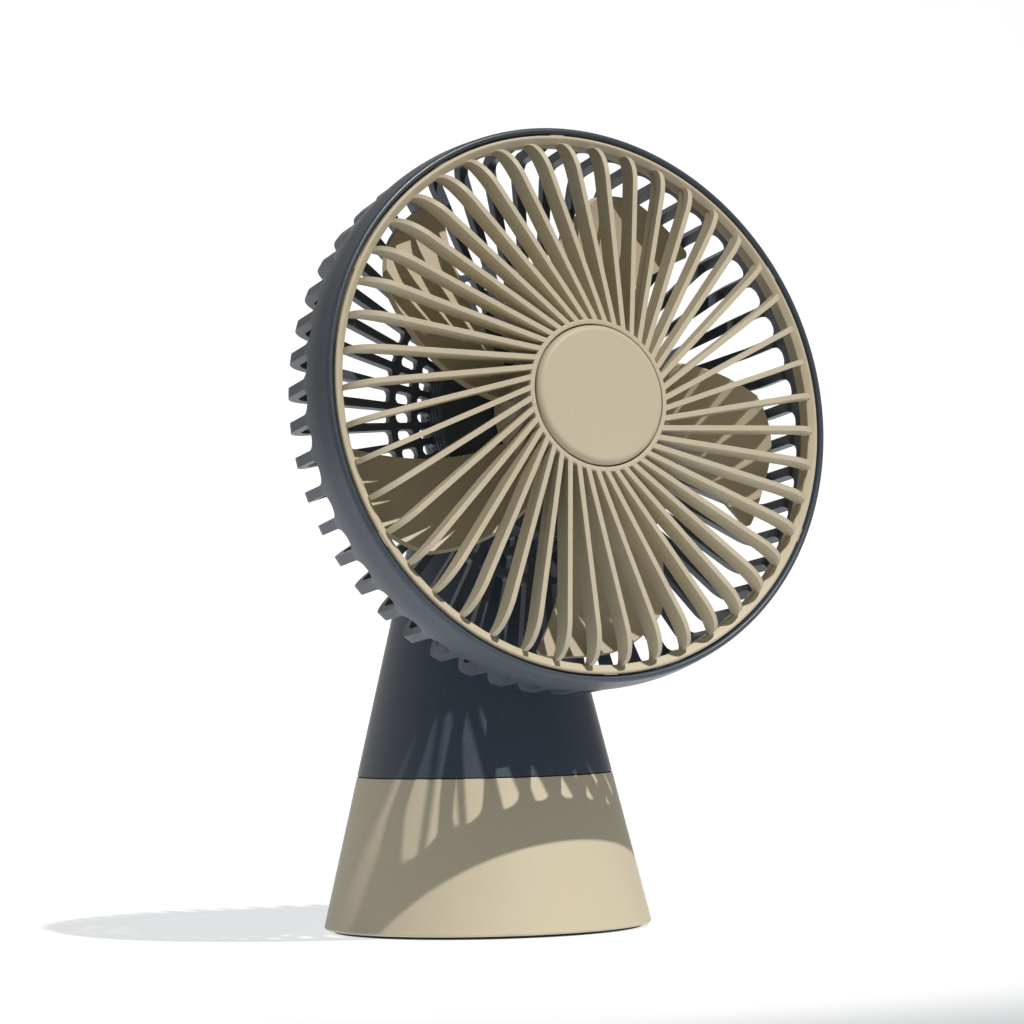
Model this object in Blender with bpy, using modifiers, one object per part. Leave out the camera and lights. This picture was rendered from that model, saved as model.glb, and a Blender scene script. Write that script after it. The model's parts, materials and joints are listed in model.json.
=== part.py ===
"""Small round table fan: a disc-shaped head that tilts on a two-tone cone base.

All sizes below are in millimetres and are turned into metres when a mesh is made.
World frame: +Z up, origin at the centre of the foot's underside, the fan blows towards -Y.
Head frame: its +Z is the fan's axis pointing forward, its +X is world +X, and its origin is the
centre of the front rim's plane, so "forward" heights of head pieces are measured from that plane.
"""
import math

import bmesh
import bpy
from mathutils import Matrix, Vector

MM = 0.001
GAP = 0.3                      # clearance between pieces that touch or slide on each other

# --- head -----------------------------------------------------------------------------------
REST_TILT = 8.83               # upward tilt of the fan's axis, degrees
TILT_Z = 147.0                 # height of the tilt axis
TILT_Y = -8.0                  # how far the tilt axis stands off the cone's middle
PIVOT_BACK = 59.1              # tilt axis behind the rim plane

RIM_R = 80.0                   # outer radius of the front grille's rim
RIM_WALL = 2.8
RIM_DEPTH = 5.4
RIM_SLOPE = 1.2                # how far the rim's face falls back towards its inner edge
TAB_COUNT = 6                  # snap tabs that hold the grille in the guard
TAB_HEIGHT = 0.7
TAB_AT = 3.6                   # behind the rim plane
TAB_LENGTH = 9.0

SPOKE_COUNT = 45
SPOKE_WIDTH = 1.7
SPOKE_OFFSET = 9.8             # each spoke is tangent to a circle of this radius
SPOKE_DEPTH = 6.9
SPOKE_FRONT_HUB = 9.0          # front edge forward of the rim plane, at the hub
SPOKE_FRONT_OUT = 7.2          # the same where the bend to the rim starts
SPOKE_BEND = 11.0              # radial length of that bend
SPOKE_BASE = 1.0               # front edge behind the rim plane, where a spoke meets the rim
SPOKE_PHASE = 0.6
SPOKE_END = 1.9                # where the front edge meets the rim, in from the rim's edge
SPOKE_FOOT = 3.8               # depth of a spoke where it stands on the rim

HUB_R = 22.6
HUB_WALL = 1.5
HUB_FLOOR = 1.6
CAP_HEIGHT = 10.5              # face of the hub cap forward of the rim plane
CAP_EDGE = 1.9
CAP_WALL = 1.6
CAP_GAP = 0.4

GUARD_WALL = 2.9               # thickest part of the guard's ring
GUARD_LIP = 1.4                # wall of the ring at its front edge
GUARD_RING_DEPTH = 15.5
GUARD_DEPTH = 32.0             # back face of the bars behind the rim plane
GUARD_CORNER = 6.0
BAR_COUNT = 50
BAR_WIDTH = 3.0
BAR_THICK = 3.0
BAR_PHASE = 1.7
DRUM_R = 36.0                  # motor drum in the middle of the guard
RING_STEPS = (4.7, 11.7)       # middles of the two concentric rings, outside the drum
RING_WIDTH = 2.2
DRUM_WALL = 2.0
DRUM_FRONT = 22.0              # drum's front face behind the rim plane
DRUM_HOLE_R = 7.0

TIP_GAP = 4.7                  # from the blades' tips to the rim's inside
IMPELLER_HUB_R = 19.0
IMPELLER_FRONT = 8.0           # front of the hub behind the rim plane
IMPELLER_BACK = 20.5
IMPELLER_WALL = 1.6
BLADE_COUNT = 5
BLADE_THICK = 1.8
BLADE_HALF_DEPTH = 5.4         # from a blade's middle to its leading or trailing edge, along the axis
BLADE_ROOT_ARC = 21.2          # half of a blade's arc at its root, degrees
BLADE_TIP_ARC = 14.4           # the same at its tip
BLADE_SWEEP = 28.0             # how far the tip leads the root, clockwise from the front, degrees
BLADE_PHASE = 13.6             # middle of the first blade's root, degrees
BLADE_CORNER = 6.5             # how far the trailing corner of the tip is rounded back
BLADE_BOW = 1.3                # hollow of the front face
BLADE_MIDDLE = 14.8            # middle of the blades behind the rim plane

# --- motor ----------------------------------------------------------------------------------
SHAFT_R = 1.5
BEARING_R = 4.5
BEARING_WIDTH = 4.0
TUBE_WALL = 0.9
CAN_R = 22.5
CAN_WALL = 1.5
CAN_BACK = 40.8                # can's closed back behind the rim plane
CAN_LENGTH = 11.5
MAGNET_THICK = 1.8
AIR_GAP = 0.7
STATOR_LENGTH = 4.5
WINDING_THICK = 1.4
MOTOR_BASE_R = 30.0
MOTOR_BASE_THICK = 2.0
MOTOR_POST_HEIGHT = 2.0
MOTOR_POST_RADIUS = 26.5
MOTOR_SCREW_LENGTH = 5.2
COVER_FLAT_R = 13.0
COVER_BACK = 46.5
COVER_WALL = 2.0
COVER_SHOULDER_R = 25.0
COVER_SHOULDER_AT = 43.6

# --- tilt joint -----------------------------------------------------------------------------
KNUCKLE_WIDTH = 13.4
KNUCKLE_R = 8.2
KNUCKLE_FLANGE_R = 10.6
KNUCKLE_FLANGE = 2.4
WASHER_THICK = 0.8
WASHER_R = 7.4
PIN_R = 2.2
PIN_HEAD_R = 3.8
PIN_HEAD = 1.8
PIN_CAP_R = 4.4
PIN_CAP_THICK = 1.2
CHEEK_R = 9.2                  # bosses around the pin inside and outside the yoke
CHEEK_WALL = 4.9
YOKE_TOP = 10.0                # cone's top above the tilt axis
YOKE_ROUND = 7.0
SLOT_FLOOR = 10.6              # yoke slot's floor below the tilt axis

# --- base -----------------------------------------------------------------------------------
BASE_R = 50.0                  # cone's radius at the table
NECK_R = 14.66                 # cone's radius at the height of the tilt axis
SEAM_Z = 46.8                  # joint between the lower and the upper cone
CONE_WALL = 2.2
CONE_EDGE = 0.9                # rounding at the cone's bottom edge
SPIGOT = 5.0                   # upper cone's collar inside the lower cone
LOWER_CONE_BOTTOM = 0.9
NECK_FLOOR = 6.4               # between the cone's hollow and the yoke slot
FOOT_INSET = 2.9
FOOT_THICK = 1.3
PLATE_THICK = 2.8
BALLAST_THICK = 5.0
BALLAST_GAP = 1.5              # from the weight to the screw posts
POST_R = 3.4
POST_HEIGHT = 12.0
SCREW_R = 1.3
SCREW_HEAD_R = 2.6
SCREW_HEAD = 1.5
SCREW_LENGTH = 9.0
CELL_R = 9.1
CELL_LENGTH = 65.0
CELL_NIP = 2.4
HOLDER_WALL = 2.0
HOLDER_HEIGHT = 7.0
BOARD_WIDTH = 30.0
BOARD_LENGTH = 58.0
BOARD_THICK = 1.6
BOARD_DEPTH = 11.0             # board's outer face under the cone's outer face
BUTTON_Z = 62.0
BUTTON_R = 6.5
BUTTON_PROUD = 1.2
BUTTON_TRAVEL = 1.0
BUTTON_LEDGE = 1.3             # flange beyond the button's side
BUTTON_FLANGE = 1.0
BUTTON_UNDER = 1.5             # from the wall's inside to the flange
SWITCH_SIZE = 6.0
USB_Z = 21.0
USB_WIDTH = 9.0
USB_HEIGHT = 3.3
USB_INSET = 0.4
LIGHT_R = 1.2
LIGHT_GAP = 5.5                # light pipe above the button's edge
LEAD_R = 1.1
BORE_R = 2.6                   # lead's way through the slot's floor

SIDES_LARGE = 48
SIDES_MEDIUM = 28
SIDES_SMALL = 14

# --- what follows from the sizes above ------------------------------------------------------
SLOPE = (BASE_R - NECK_R) / TILT_Z
LEAN = math.atan(SLOPE)
GUARD_IN = RIM_R + GAP                      # inside of the guard's ring
GUARD_R = GUARD_IN + GUARD_WALL
IMPELLER_R = RIM_R - RIM_WALL - TIP_GAP
COVER_R = DRUM_R
TUBE_R = BEARING_R + GAP + TUBE_WALL
MOTOR_BASE_AT = DRUM_FRONT + DRUM_WALL + MOTOR_POST_HEIGHT + GAP
STATOR_R = CAN_R - CAN_WALL - MAGNET_THICK - GAP - AIR_GAP
SLOT_HALF = KNUCKLE_WIDTH / 2 + WASHER_THICK + 2 * GAP
YOKE_FACE = SLOT_HALF + CHEEK_WALL          # from the middle to the yoke's outer flats
CAVITY_TOP = TILT_Z - SLOT_FLOOR - NECK_FLOOR
FOOT_R = BASE_R - FOOT_INSET
BUTTON_FLANGE_R = BUTTON_R + BUTTON_LEDGE
BUTTON_FLANGE_AT = CONE_WALL + BUTTON_UNDER
LIGHT_ABOVE = BUTTON_R + LIGHT_GAP
PLATE_Z = FOOT_THICK + GAP
INSIDE_Z = PLATE_Z + PLATE_THICK + GAP      # lowest height free for what stands on the plate


def cone_r(z):
    """Outer radius of the cone base at height z."""
    return BASE_R - SLOPE * z


def cone_in(z):
    """Inner radius of the cone's wall at height z."""
    return cone_r(z) - CONE_WALL / math.cos(LEAN)


# --- scene, materials and helpers -----------------------------------------------------------
for old in list(bpy.data.objects):
    bpy.data.objects.remove(old, do_unlink=True)

parts = bpy.data.collections.new("table_fan")
cutters = bpy.data.collections.new("cutters")
for group in (parts, cutters):
    bpy.context.scene.collection.children.link(group)


def material(name, colour, roughness, metallic=0.0):
    made = bpy.data.materials.new(name)
    made.use_nodes = True
    shader = made.node_tree.nodes["Principled BSDF"]
    shader.inputs["Base Color"].default_value = (*colour, 1.0)
    shader.inputs["Roughness"].default_value = roughness
    shader.inputs["Metallic"].default_value = metallic
    return made


BEIGE = material("beige_plastic", (0.60, 0.53, 0.39), 0.55)
SLATE = material("slate_plastic", (0.050, 0.070, 0.095), 0.55)
RUBBER = material("black_rubber", (0.02, 0.02, 0.02), 0.85)
STEEL = material("steel", (0.55, 0.55, 0.56), 0.30, 1.0)
ALUMINIUM = material("aluminium", (0.70, 0.71, 0.72), 0.40, 1.0)
IRON = material("iron", (0.12, 0.12, 0.13), 0.60, 1.0)
COPPER = material("copper", (0.65, 0.28, 0.14), 0.35, 1.0)
NYLON = material("white_nylon", (0.75, 0.74, 0.70), 0.50)
WRAP = material("cell_wrap", (0.05, 0.20, 0.30), 0.35)
BOARD = material("board_green", (0.02, 0.14, 0.07), 0.45)
CLEAR = material("light_pipe", (0.85, 0.87, 0.85), 0.20)
LEAD = material("lead_black", (0.03, 0.03, 0.03), 0.50)


def empty(name, location, matrix=None, parent=None):
    """A guide on a joint's axis; pieces of that body hang from it."""
    guide = bpy.data.objects.new(name, None)
    parts.objects.link(guide)
    guide.parent = parent
    turn = matrix or Matrix.Identity(3)
    guide.matrix_local = Matrix.Translation(Vector(location) * MM) @ turn.to_4x4()
    return guide


def piece(name, mesh, finish, parent=None):
    made = bpy.data.objects.new(name, mesh)
    parts.objects.link(made)
    made.parent = parent
    if finish:
        mesh.materials.clear()
        mesh.materials.append(finish)
    return made


def mesh_from(name, bm):
    """Millimetre bmesh to a metre mesh."""
    bmesh.ops.scale(bm, vec=(MM, MM, MM), verts=bm.verts)
    bmesh.ops.recalc_face_normals(bm, faces=bm.faces)
    mesh = bpy.data.meshes.new(name)
    bm.to_mesh(mesh)
    bm.free()
    return mesh


def smooth(mesh, angle=35):
    mesh.shade_smooth()
    mesh.set_sharp_from_angle(angle=math.radians(angle))


def turned(name, profile, finish, parent=None, sides=SIDES_MEDIUM, closed=False):
    """Profile points (radius, height) run down the outer side, top to bottom."""
    bm = bmesh.new()
    points = [bm.verts.new((r, 0, h)) for r, h in profile]
    for first, second in zip(points, points[1:]):
        bm.edges.new((first, second))
    if closed:
        bm.edges.new((points[-1], points[0]))
    bmesh.ops.scale(bm, vec=(MM, MM, MM), verts=bm.verts)
    mesh = bpy.data.meshes.new(name)
    bm.to_mesh(mesh)
    bm.free()
    made = piece(name, mesh, finish, parent)
    screw = made.modifiers.new("turn", "SCREW")
    screw.steps = sides
    screw.render_steps = sides
    screw.use_merge_vertices = True
    screw.merge_threshold = 0.00002
    screw.use_smooth_shade = True
    return made


def block(size, centre, turn=None):
    """A box in a fresh bmesh, in millimetres."""
    bm = bmesh.new()
    bmesh.ops.create_cube(bm, size=1)
    bmesh.ops.scale(bm, vec=size, verts=bm.verts)
    place = Matrix.Translation(centre) @ (turn or Matrix.Identity(4))
    bmesh.ops.transform(bm, matrix=place, verts=bm.verts)
    return bm


def rod(radius, low, high, centre=(0, 0), turn=None, sides=SIDES_SMALL, top_radius=None):
    """A cylinder or cone along Z from low to high, then turned, in a fresh bmesh."""
    bm = bmesh.new()
    bmesh.ops.create_cone(bm, cap_ends=True, segments=sides, radius1=radius,
                          radius2=top_radius or radius, depth=high - low)
    bmesh.ops.translate(bm, vec=(centre[0], centre[1], (low + high) / 2), verts=bm.verts)
    if turn:
        bmesh.ops.transform(bm, matrix=turn, verts=bm.verts)
    return bm


def merged(bms):
    """Several separate solids in one bmesh."""
    whole = bmesh.new()
    for bm in bms:
        spare = bpy.data.meshes.new("spare")
        bm.to_mesh(spare)
        bm.free()
        whole.from_mesh(spare)
        bpy.data.meshes.remove(spare)
    return whole


def tool(target, bm, operation, name):
    """Cut the target with, or join to it, a solid that then stays as a hidden guide."""
    cutter = bpy.data.objects.new(name, mesh_from(name, bm))
    cutters.objects.link(cutter)
    cutter.parent = target.parent
    cutter.hide_render = True
    cutter.display_type = "WIRE"
    change = target.modifiers.new(name, "BOOLEAN")
    change.operation = operation
    change.solver = "EXACT"
    change.object = cutter
    return cutter


def cut(target, bm, name):
    return tool(target, bm, "DIFFERENCE", name)


def join(target, bm, name):
    return tool(target, bm, "UNION", name)


def plate(outline, thickness):
    """A flat plate from an outline in its own X-Y plane, as a bmesh in millimetres."""
    curve = bpy.data.curves.new("outline", "CURVE")
    curve.dimensions = "2D"
    curve.fill_mode = "BOTH"
    curve.extrude = thickness / 2
    line = curve.splines.new("POLY")
    line.points.add(len(outline) - 1)
    for point, (x, y) in zip(line.points, outline):
        point.co = (x, y, 0, 1)
    line.use_cyclic_u = True
    drawn = bpy.data.objects.new("outline", curve)
    cutters.objects.link(drawn)
    shape = bpy.data.meshes.new_from_object(drawn.evaluated_get(bpy.context.evaluated_depsgraph_get()))
    bpy.data.objects.remove(drawn)
    bpy.data.curves.remove(curve)
    bm = bmesh.new()
    bm.from_mesh(shape)
    bpy.data.meshes.remove(shape)
    bmesh.ops.remove_doubles(bm, verts=bm.verts, dist=0.001)
    bmesh.ops.recalc_face_normals(bm, faces=bm.faces)
    return bm


def arc(centre, radius, start, end, count, radius_y=None):
    """Points on an arc between two angles in degrees, both ends included."""
    points = []
    for k in range(count + 1):
        angle = math.radians(start + (end - start) * k / count)
        points.append((centre[0] + radius * math.cos(angle),
                       centre[1] + (radius_y or radius) * math.sin(angle)))
    return points


def spin_z(angle):
    return Matrix.Rotation(math.radians(angle), 4, "Z")


def screw_node(name, parent, place, length=SCREW_LENGTH, head_r=SCREW_HEAD_R, shank_r=SCREW_R):
    """Pan-head screw whose seat is at the given place, shank along local +Z."""
    made = turned(name, [(0, length), (shank_r * 0.6, length), (shank_r, length - 1),
                         (shank_r, 0), (head_r, 0), (head_r * 0.8, -SCREW_HEAD), (0, -SCREW_HEAD)],
                  STEEL, parent, sides=10)
    made.matrix_local = Matrix.Translation(place.translation * MM) @ place.to_3x3().to_4x4()
    return made


# --- guides ---------------------------------------------------------------------------------
tilt_turn = Matrix.Rotation(math.radians(90 - REST_TILT), 3, "X")
tilt_axis = empty("tilt_axis", (0, TILT_Y, TILT_Z), tilt_turn)
head = empty("head_frame", (0, 0, PIVOT_BACK), parent=tilt_axis)
spin_axis = empty("spin_axis", (0, 0, -IMPELLER_BACK), parent=head)
rotor = empty("rotor_frame", (0, 0, IMPELLER_BACK), parent=spin_axis)
rear_turn = Matrix.Rotation(math.radians(180), 3, "Z") @ Matrix.Rotation(math.radians(90) - LEAN, 3, "X")
button_axis = empty("button_axis", (0, cone_r(BUTTON_Z), BUTTON_Z), rear_turn)


# --- front grille and its hub cap -----------------------------------------------------------
def spoke_outline():
    """Side view of one spoke: along it, and forward of the rim plane."""
    start = math.sqrt((HUB_R - HUB_WALL * 0.4) ** 2 - (SPOKE_OFFSET + SPOKE_WIDTH / 2) ** 2)
    end = math.sqrt((RIM_R - SPOKE_END) ** 2 - SPOKE_OFFSET ** 2)
    bend = end - SPOKE_BEND
    front = arc((bend, -SPOKE_BASE), SPOKE_BEND, 90, 0, 4, SPOKE_FRONT_OUT + SPOKE_BASE)
    low = -SPOKE_BASE - SPOKE_FOOT
    back = arc((bend - 1, low), SPOKE_BEND * 0.8, 0, 90, 2, SPOKE_FRONT_OUT - SPOKE_DEPTH - low)
    return ([(start, SPOKE_FRONT_HUB)] + front + [(end, low)] + back
            + [(start, SPOKE_FRONT_HUB - SPOKE_DEPTH)])


def spoke_angle(radius):
    """Where the first spoke crosses a circle, in degrees round the head's axis."""
    return SPOKE_PHASE - math.degrees(math.asin(SPOKE_OFFSET / radius))


def front_grille():
    back = -RIM_DEPTH
    inner = RIM_R - RIM_WALL
    rim = [(RIM_R - 0.9, 0), (RIM_R - 0.3, -0.2), (RIM_R, -0.9), (RIM_R, back), (inner, back),
           (inner, -RIM_SLOPE)]
    grille = turned("front_grille", rim, BEIGE, head, SPOKE_COUNT, closed=True)
    half_pitch = 180 / SPOKE_COUNT
    grille.rotation_euler.z = math.radians(spoke_angle(RIM_R - RIM_WALL) + half_pitch)
    outline = spoke_outline()
    stand = Matrix.Rotation(math.radians(90), 4, "X")
    spokes = []
    for k in range(SPOKE_COUNT):
        bm = plate(outline, SPOKE_WIDTH)
        place = spin_z(SPOKE_PHASE + 360 / SPOKE_COUNT * k) @ Matrix.Translation((0, -SPOKE_OFFSET, 0))
        bmesh.ops.transform(bm, matrix=place @ stand, verts=bm.verts)
        spokes.append(bm)
    join(grille, merged(spokes), "spokes")
    hub_low = SPOKE_FRONT_HUB - SPOKE_DEPTH
    between = spin_z(spoke_angle(HUB_R) + half_pitch)
    cup = rod(HUB_R, hub_low, SPOKE_FRONT_HUB, sides=SPOKE_COUNT, turn=between)
    join(grille, cup, "hub_cup")
    cut(grille, rod(HUB_R - HUB_WALL, hub_low + HUB_FLOOR, SPOKE_FRONT_HUB + 2, sides=SPOKE_COUNT,
                    turn=between), "hub_recess")
    tabs = []
    for k in range(TAB_COUNT):
        reach = (RIM_R - 1.0, RIM_R + TAB_HEIGHT)
        bm = block((reach[1] - reach[0], TAB_LENGTH, 1.4), ((reach[0] + reach[1]) / 2, 0, -TAB_AT))
        bmesh.ops.transform(bm, matrix=spin_z(90 + 360 / TAB_COUNT * k), verts=bm.verts)
        tabs.append(bm)
    join(grille, merged(tabs), "snap_tabs")


def hub_cap():
    radius = HUB_R - HUB_WALL - CAP_GAP
    low = SPOKE_FRONT_HUB - SPOKE_DEPTH + HUB_FLOOR + GAP
    edge = arc((radius - CAP_EDGE, CAP_HEIGHT - CAP_EDGE), CAP_EDGE, 90, 0, 4)
    profile = [(0, CAP_HEIGHT)] + edge + [(radius, low), (radius - CAP_WALL, low),
                                          (radius - CAP_WALL, CAP_HEIGHT - CAP_WALL - 0.6),
                                          (0, CAP_HEIGHT - CAP_WALL - 0.6)]
    turned("hub_cap", profile, BEIGE, head)


# --- rear guard -----------------------------------------------------------------------------
def bar_outline():
    """Side view of one guard bar: radius, and forward of the rim plane."""
    outer = GUARD_R - 0.8
    middle = outer - 0.4 - GUARD_CORNER
    low = -GUARD_DEPTH
    bend = arc((middle, low + GUARD_CORNER), GUARD_CORNER, 0, -90, 3)
    inside = arc((middle, low + GUARD_CORNER), GUARD_CORNER - BAR_THICK, -90, 0, 1)
    top = -GUARD_RING_DEPTH + 1.5
    inner_end = DRUM_R - DRUM_WALL * 0.5
    return ([(outer, top)] + bend + [(inner_end, low), (inner_end, low + BAR_THICK)] + inside
            + [(outer - BAR_THICK + 0.9, top)])


def motor_post_centres():
    angles = [math.radians(90 + 120 * k) for k in range(3)]
    return [(MOTOR_POST_RADIUS * math.cos(a), MOTOR_POST_RADIUS * math.sin(a)) for a in angles]


def rear_guard():
    wide = GUARD_R
    groove = TAB_HEIGHT + GAP
    ring = [(wide - GUARD_LIP - 0.2, 0), (wide - GUARD_LIP, -0.8), (wide - 0.5, -4.0), (wide, -8.0),
            (wide - 0.3, -GUARD_RING_DEPTH), (GUARD_IN, -GUARD_RING_DEPTH),
            (GUARD_IN, -TAB_AT - 1.2), (GUARD_IN + groove, -TAB_AT - 1.0),
            (GUARD_IN + groove, -TAB_AT + 1.0), (GUARD_IN, -TAB_AT + 1.2), (GUARD_IN, 0)]
    guard = turned("rear_guard", ring, SLATE, head, BAR_COUNT, closed=True)
    between = BAR_PHASE + 180 / BAR_COUNT
    guard.rotation_euler.z = math.radians(between)
    outline = bar_outline()
    stand = Matrix.Rotation(math.radians(90), 4, "X")
    bars = []
    for k in range(BAR_COUNT):
        bm = plate(outline, BAR_WIDTH)
        bmesh.ops.transform(bm, matrix=spin_z(BAR_PHASE + 360 / BAR_COUNT * k) @ stand, verts=bm.verts)
        bars.append(bm)
    join(guard, merged(bars), "bars")
    for label, step in (("inner", RING_STEPS[0]), ("outer", RING_STEPS[1])):
        high = -GUARD_DEPTH + BAR_THICK - 0.05
        low = -GUARD_DEPTH + 0.05
        inside, outside = DRUM_R + step - RING_WIDTH / 2, DRUM_R + step + RING_WIDTH / 2
        band = turned("ring_" + label, [(outside, high), (outside, low), (inside, low), (inside, high)],
                      None, head, BAR_COUNT, closed=True)
        band.rotation_euler.z = math.radians(between)
        parts.objects.unlink(band)
        cutters.objects.link(band)
        band.hide_render = True
        band.display_type = "WIRE"
        change = guard.modifiers.new("ring_" + label, "BOOLEAN")
        change.operation = "UNION"
        change.solver = "EXACT"
        change.object = band
    turn = spin_z(between)
    join(guard, rod(DRUM_R, -GUARD_DEPTH, -DRUM_FRONT, sides=BAR_COUNT, turn=turn), "drum")
    cut(guard, rod(DRUM_R - DRUM_WALL, -GUARD_DEPTH - 5, -DRUM_FRONT - DRUM_WALL, sides=BAR_COUNT,
                   turn=turn), "drum_inside")
    posts = [rod(POST_R, -MOTOR_BASE_AT + GAP, -DRUM_FRONT - DRUM_WALL / 2, centre, sides=12)
             for centre in motor_post_centres()]
    join(guard, merged(posts), "motor_posts")
    bores = [rod(SCREW_R + GAP, -MOTOR_BASE_AT - 1, -DRUM_FRONT - 0.5, centre, sides=10)
             for centre in motor_post_centres()]
    cut(guard, merged(bores), "post_bores")
    cut(guard, rod(DRUM_HOLE_R, -DRUM_FRONT - DRUM_WALL - 2, -DRUM_FRONT + 2, sides=SIDES_SMALL),
        "shaft_hole")


# --- impeller -------------------------------------------------------------------------------
def blade():
    """One curved, pitched blade as a bent grid with a wall, root towards the hub."""
    rows, columns = 6, 6
    root = IMPELLER_HUB_R - IMPELLER_WALL * 0.5
    reach = IMPELLER_R - root
    bm = bmesh.new()
    bmesh.ops.create_grid(bm, x_segments=rows, y_segments=columns, size=1)
    for vert in bm.verts:
        across = vert.co.y
        rounded = BLADE_CORNER * max(0.0, (across - 0.1) / 0.9) ** 2.8
        along = (vert.co.x + 1) / 2 * (1 - rounded / reach)
        radius = root + reach * along
        half_arc = BLADE_ROOT_ARC + (BLADE_TIP_ARC - BLADE_ROOT_ARC) * along ** 1.3
        turn = math.radians(BLADE_PHASE - BLADE_SWEEP * along + half_arc * across)
        rise = BLADE_HALF_DEPTH * across * (1 - 0.12 * along)
        vert.co = (radius * math.cos(turn), radius * math.sin(turn),
                   rise - BLADE_BOW * (1 - across * across))
    bmesh.ops.recalc_face_normals(bm, faces=bm.faces)
    bmesh.ops.solidify(bm, geom=bm.faces[:], thickness=BLADE_THICK)
    bmesh.ops.recalc_face_normals(bm, faces=bm.faces)
    lowest = min(vert.co.z for vert in bm.verts)
    wanted = -BLADE_MIDDLE - BLADE_HALF_DEPTH - BLADE_THICK / 2
    bmesh.ops.translate(bm, vec=(0, 0, wanted - lowest), verts=bm.verts)
    return bm


def impeller():
    front, back = -IMPELLER_FRONT, -IMPELLER_BACK
    radius = IMPELLER_HUB_R
    edge = arc((radius - 3, front - 3), 3, 90, 0, 3)
    core = 5.0
    profile = ([(0, front)] + edge
               + [(radius, back), (radius - IMPELLER_WALL, back), (radius - IMPELLER_WALL, front - 2.4),
                  (core, front - 2.4), (core, back + 1.0), (0, back + 1.0)])
    wheel = turned("impeller", profile, BEIGE, rotor)
    blades = []
    for k in range(BLADE_COUNT):
        bm = blade()
        bmesh.ops.transform(bm, matrix=spin_z(360 / BLADE_COUNT * k), verts=bm.verts)
        blades.append(bm)
    join(wheel, merged(blades), "blades")
    cut(wheel, rod(SHAFT_R + GAP, back - 2, front + 2, sides=SIDES_SMALL), "shaft_bore")
    hex_nut("impeller_nut", 3.6, front + GAP, front + 2.6, SHAFT_R + GAP, STEEL, rotor)


# --- motor ----------------------------------------------------------------------------------
def ring(name, outside, inside, high, low, finish, parent, sides=SIDES_MEDIUM):
    return turned(name, [(outside, high), (outside, low), (inside, low), (inside, high)],
                  finish, parent, sides, closed=True)


def hex_nut(name, radius, low, high, bore, finish, parent):
    """Six-sided nut along local Z with a round bore."""
    nut = piece(name, mesh_from(name, rod(radius, low, high, sides=6)), finish, parent)
    cut(nut, rod(bore, low - 1, high + 1), name + "_bore").parent = nut
    return nut


def motor():
    """Brushless motor on the drum's front wall; its can opens forward and turns with the shaft."""
    base_front = -MOTOR_BASE_AT
    base_back = base_front - MOTOR_BASE_THICK
    tube_back = -CAN_BACK + CAN_WALL + 0.8
    inner = BEARING_R + GAP
    shoulder = base_front - 0.8
    base = turned("motor_base", [(MOTOR_BASE_R, base_front), (MOTOR_BASE_R, base_back), (TUBE_R, base_back),
                                 (TUBE_R, tube_back), (inner, tube_back), (inner, shoulder),
                                 (SHAFT_R + 1, shoulder), (SHAFT_R + 1, base_front)],
                  ALUMINIUM, head, closed=True)
    holes = []
    for k, centre in enumerate(motor_post_centres()):
        holes.append(rod(SCREW_R + GAP, base_back - 1, base_front + 1, centre, sides=10))
        screw_node("motor_screw_%d" % (k + 1), head,
                   Matrix.Translation((centre[0], centre[1], base_back - GAP)), MOTOR_SCREW_LENGTH)
    cut(base, merged(holes), "motor_base_holes")
    ring("front_bearing", BEARING_R, SHAFT_R + GAP, shoulder - GAP, shoulder - GAP - BEARING_WIDTH,
         STEEL, head, SIDES_SMALL)
    ring("rear_bearing", BEARING_R, SHAFT_R + GAP, tube_back + BEARING_WIDTH, tube_back, STEEL, head,
         SIDES_SMALL)
    can_back, can_front = -CAN_BACK, -CAN_BACK + CAN_LENGTH
    can_in = CAN_R - CAN_WALL
    bore = SHAFT_R + GAP
    turned("rotor_can", [(CAN_R, can_front), (CAN_R, can_back + 1.2), (CAN_R - 1.2, can_back),
                         (bore, can_back), (bore, can_back + CAN_WALL), (can_in, can_back + CAN_WALL),
                         (can_in, can_front)], STEEL, rotor, closed=True)
    magnet_out = can_in - GAP
    magnet_high, magnet_low = can_front - 0.5, can_back + CAN_WALL + 1.5
    ring("magnet_ring", magnet_out, magnet_out - MAGNET_THICK, magnet_high, magnet_low, IRON, rotor)
    stator_mid = (magnet_high + magnet_low) / 2
    stator_high, stator_low = stator_mid + STATOR_LENGTH / 2, stator_mid - STATOR_LENGTH / 2
    core = ring("stator_core", STATOR_R, TUBE_R + GAP, stator_high, stator_low, IRON, head)
    slots = []
    for k in range(9):
        bm = block((STATOR_R * 0.62, 1.6, STATOR_LENGTH + 2), (STATOR_R * 0.80, 0, stator_mid))
        bmesh.ops.transform(bm, matrix=spin_z(40 * k), verts=bm.verts)
        slots.append(bm)
    cut(core, merged(slots), "stator_slots")
    wide, tight = STATOR_R - 1.5, TUBE_R + 2.5
    front_high = min(stator_high + GAP + WINDING_THICK, base_back - GAP)
    ring("winding_front", wide, tight, front_high, stator_high + GAP, COPPER, head)
    back_low = max(stator_low - GAP - WINDING_THICK, can_back + CAN_WALL + GAP)
    ring("winding_back", wide, tight, stator_low - GAP, back_low, COPPER, head)
    shaft_high = -IMPELLER_FRONT + 3.4
    shaft_low = can_back - 0.6
    turned("motor_shaft", [(0, shaft_high), (SHAFT_R * 0.7, shaft_high), (SHAFT_R, shaft_high - 0.5),
                           (SHAFT_R, shaft_low), (0, shaft_low)], STEEL, rotor, SIDES_SMALL)


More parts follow.
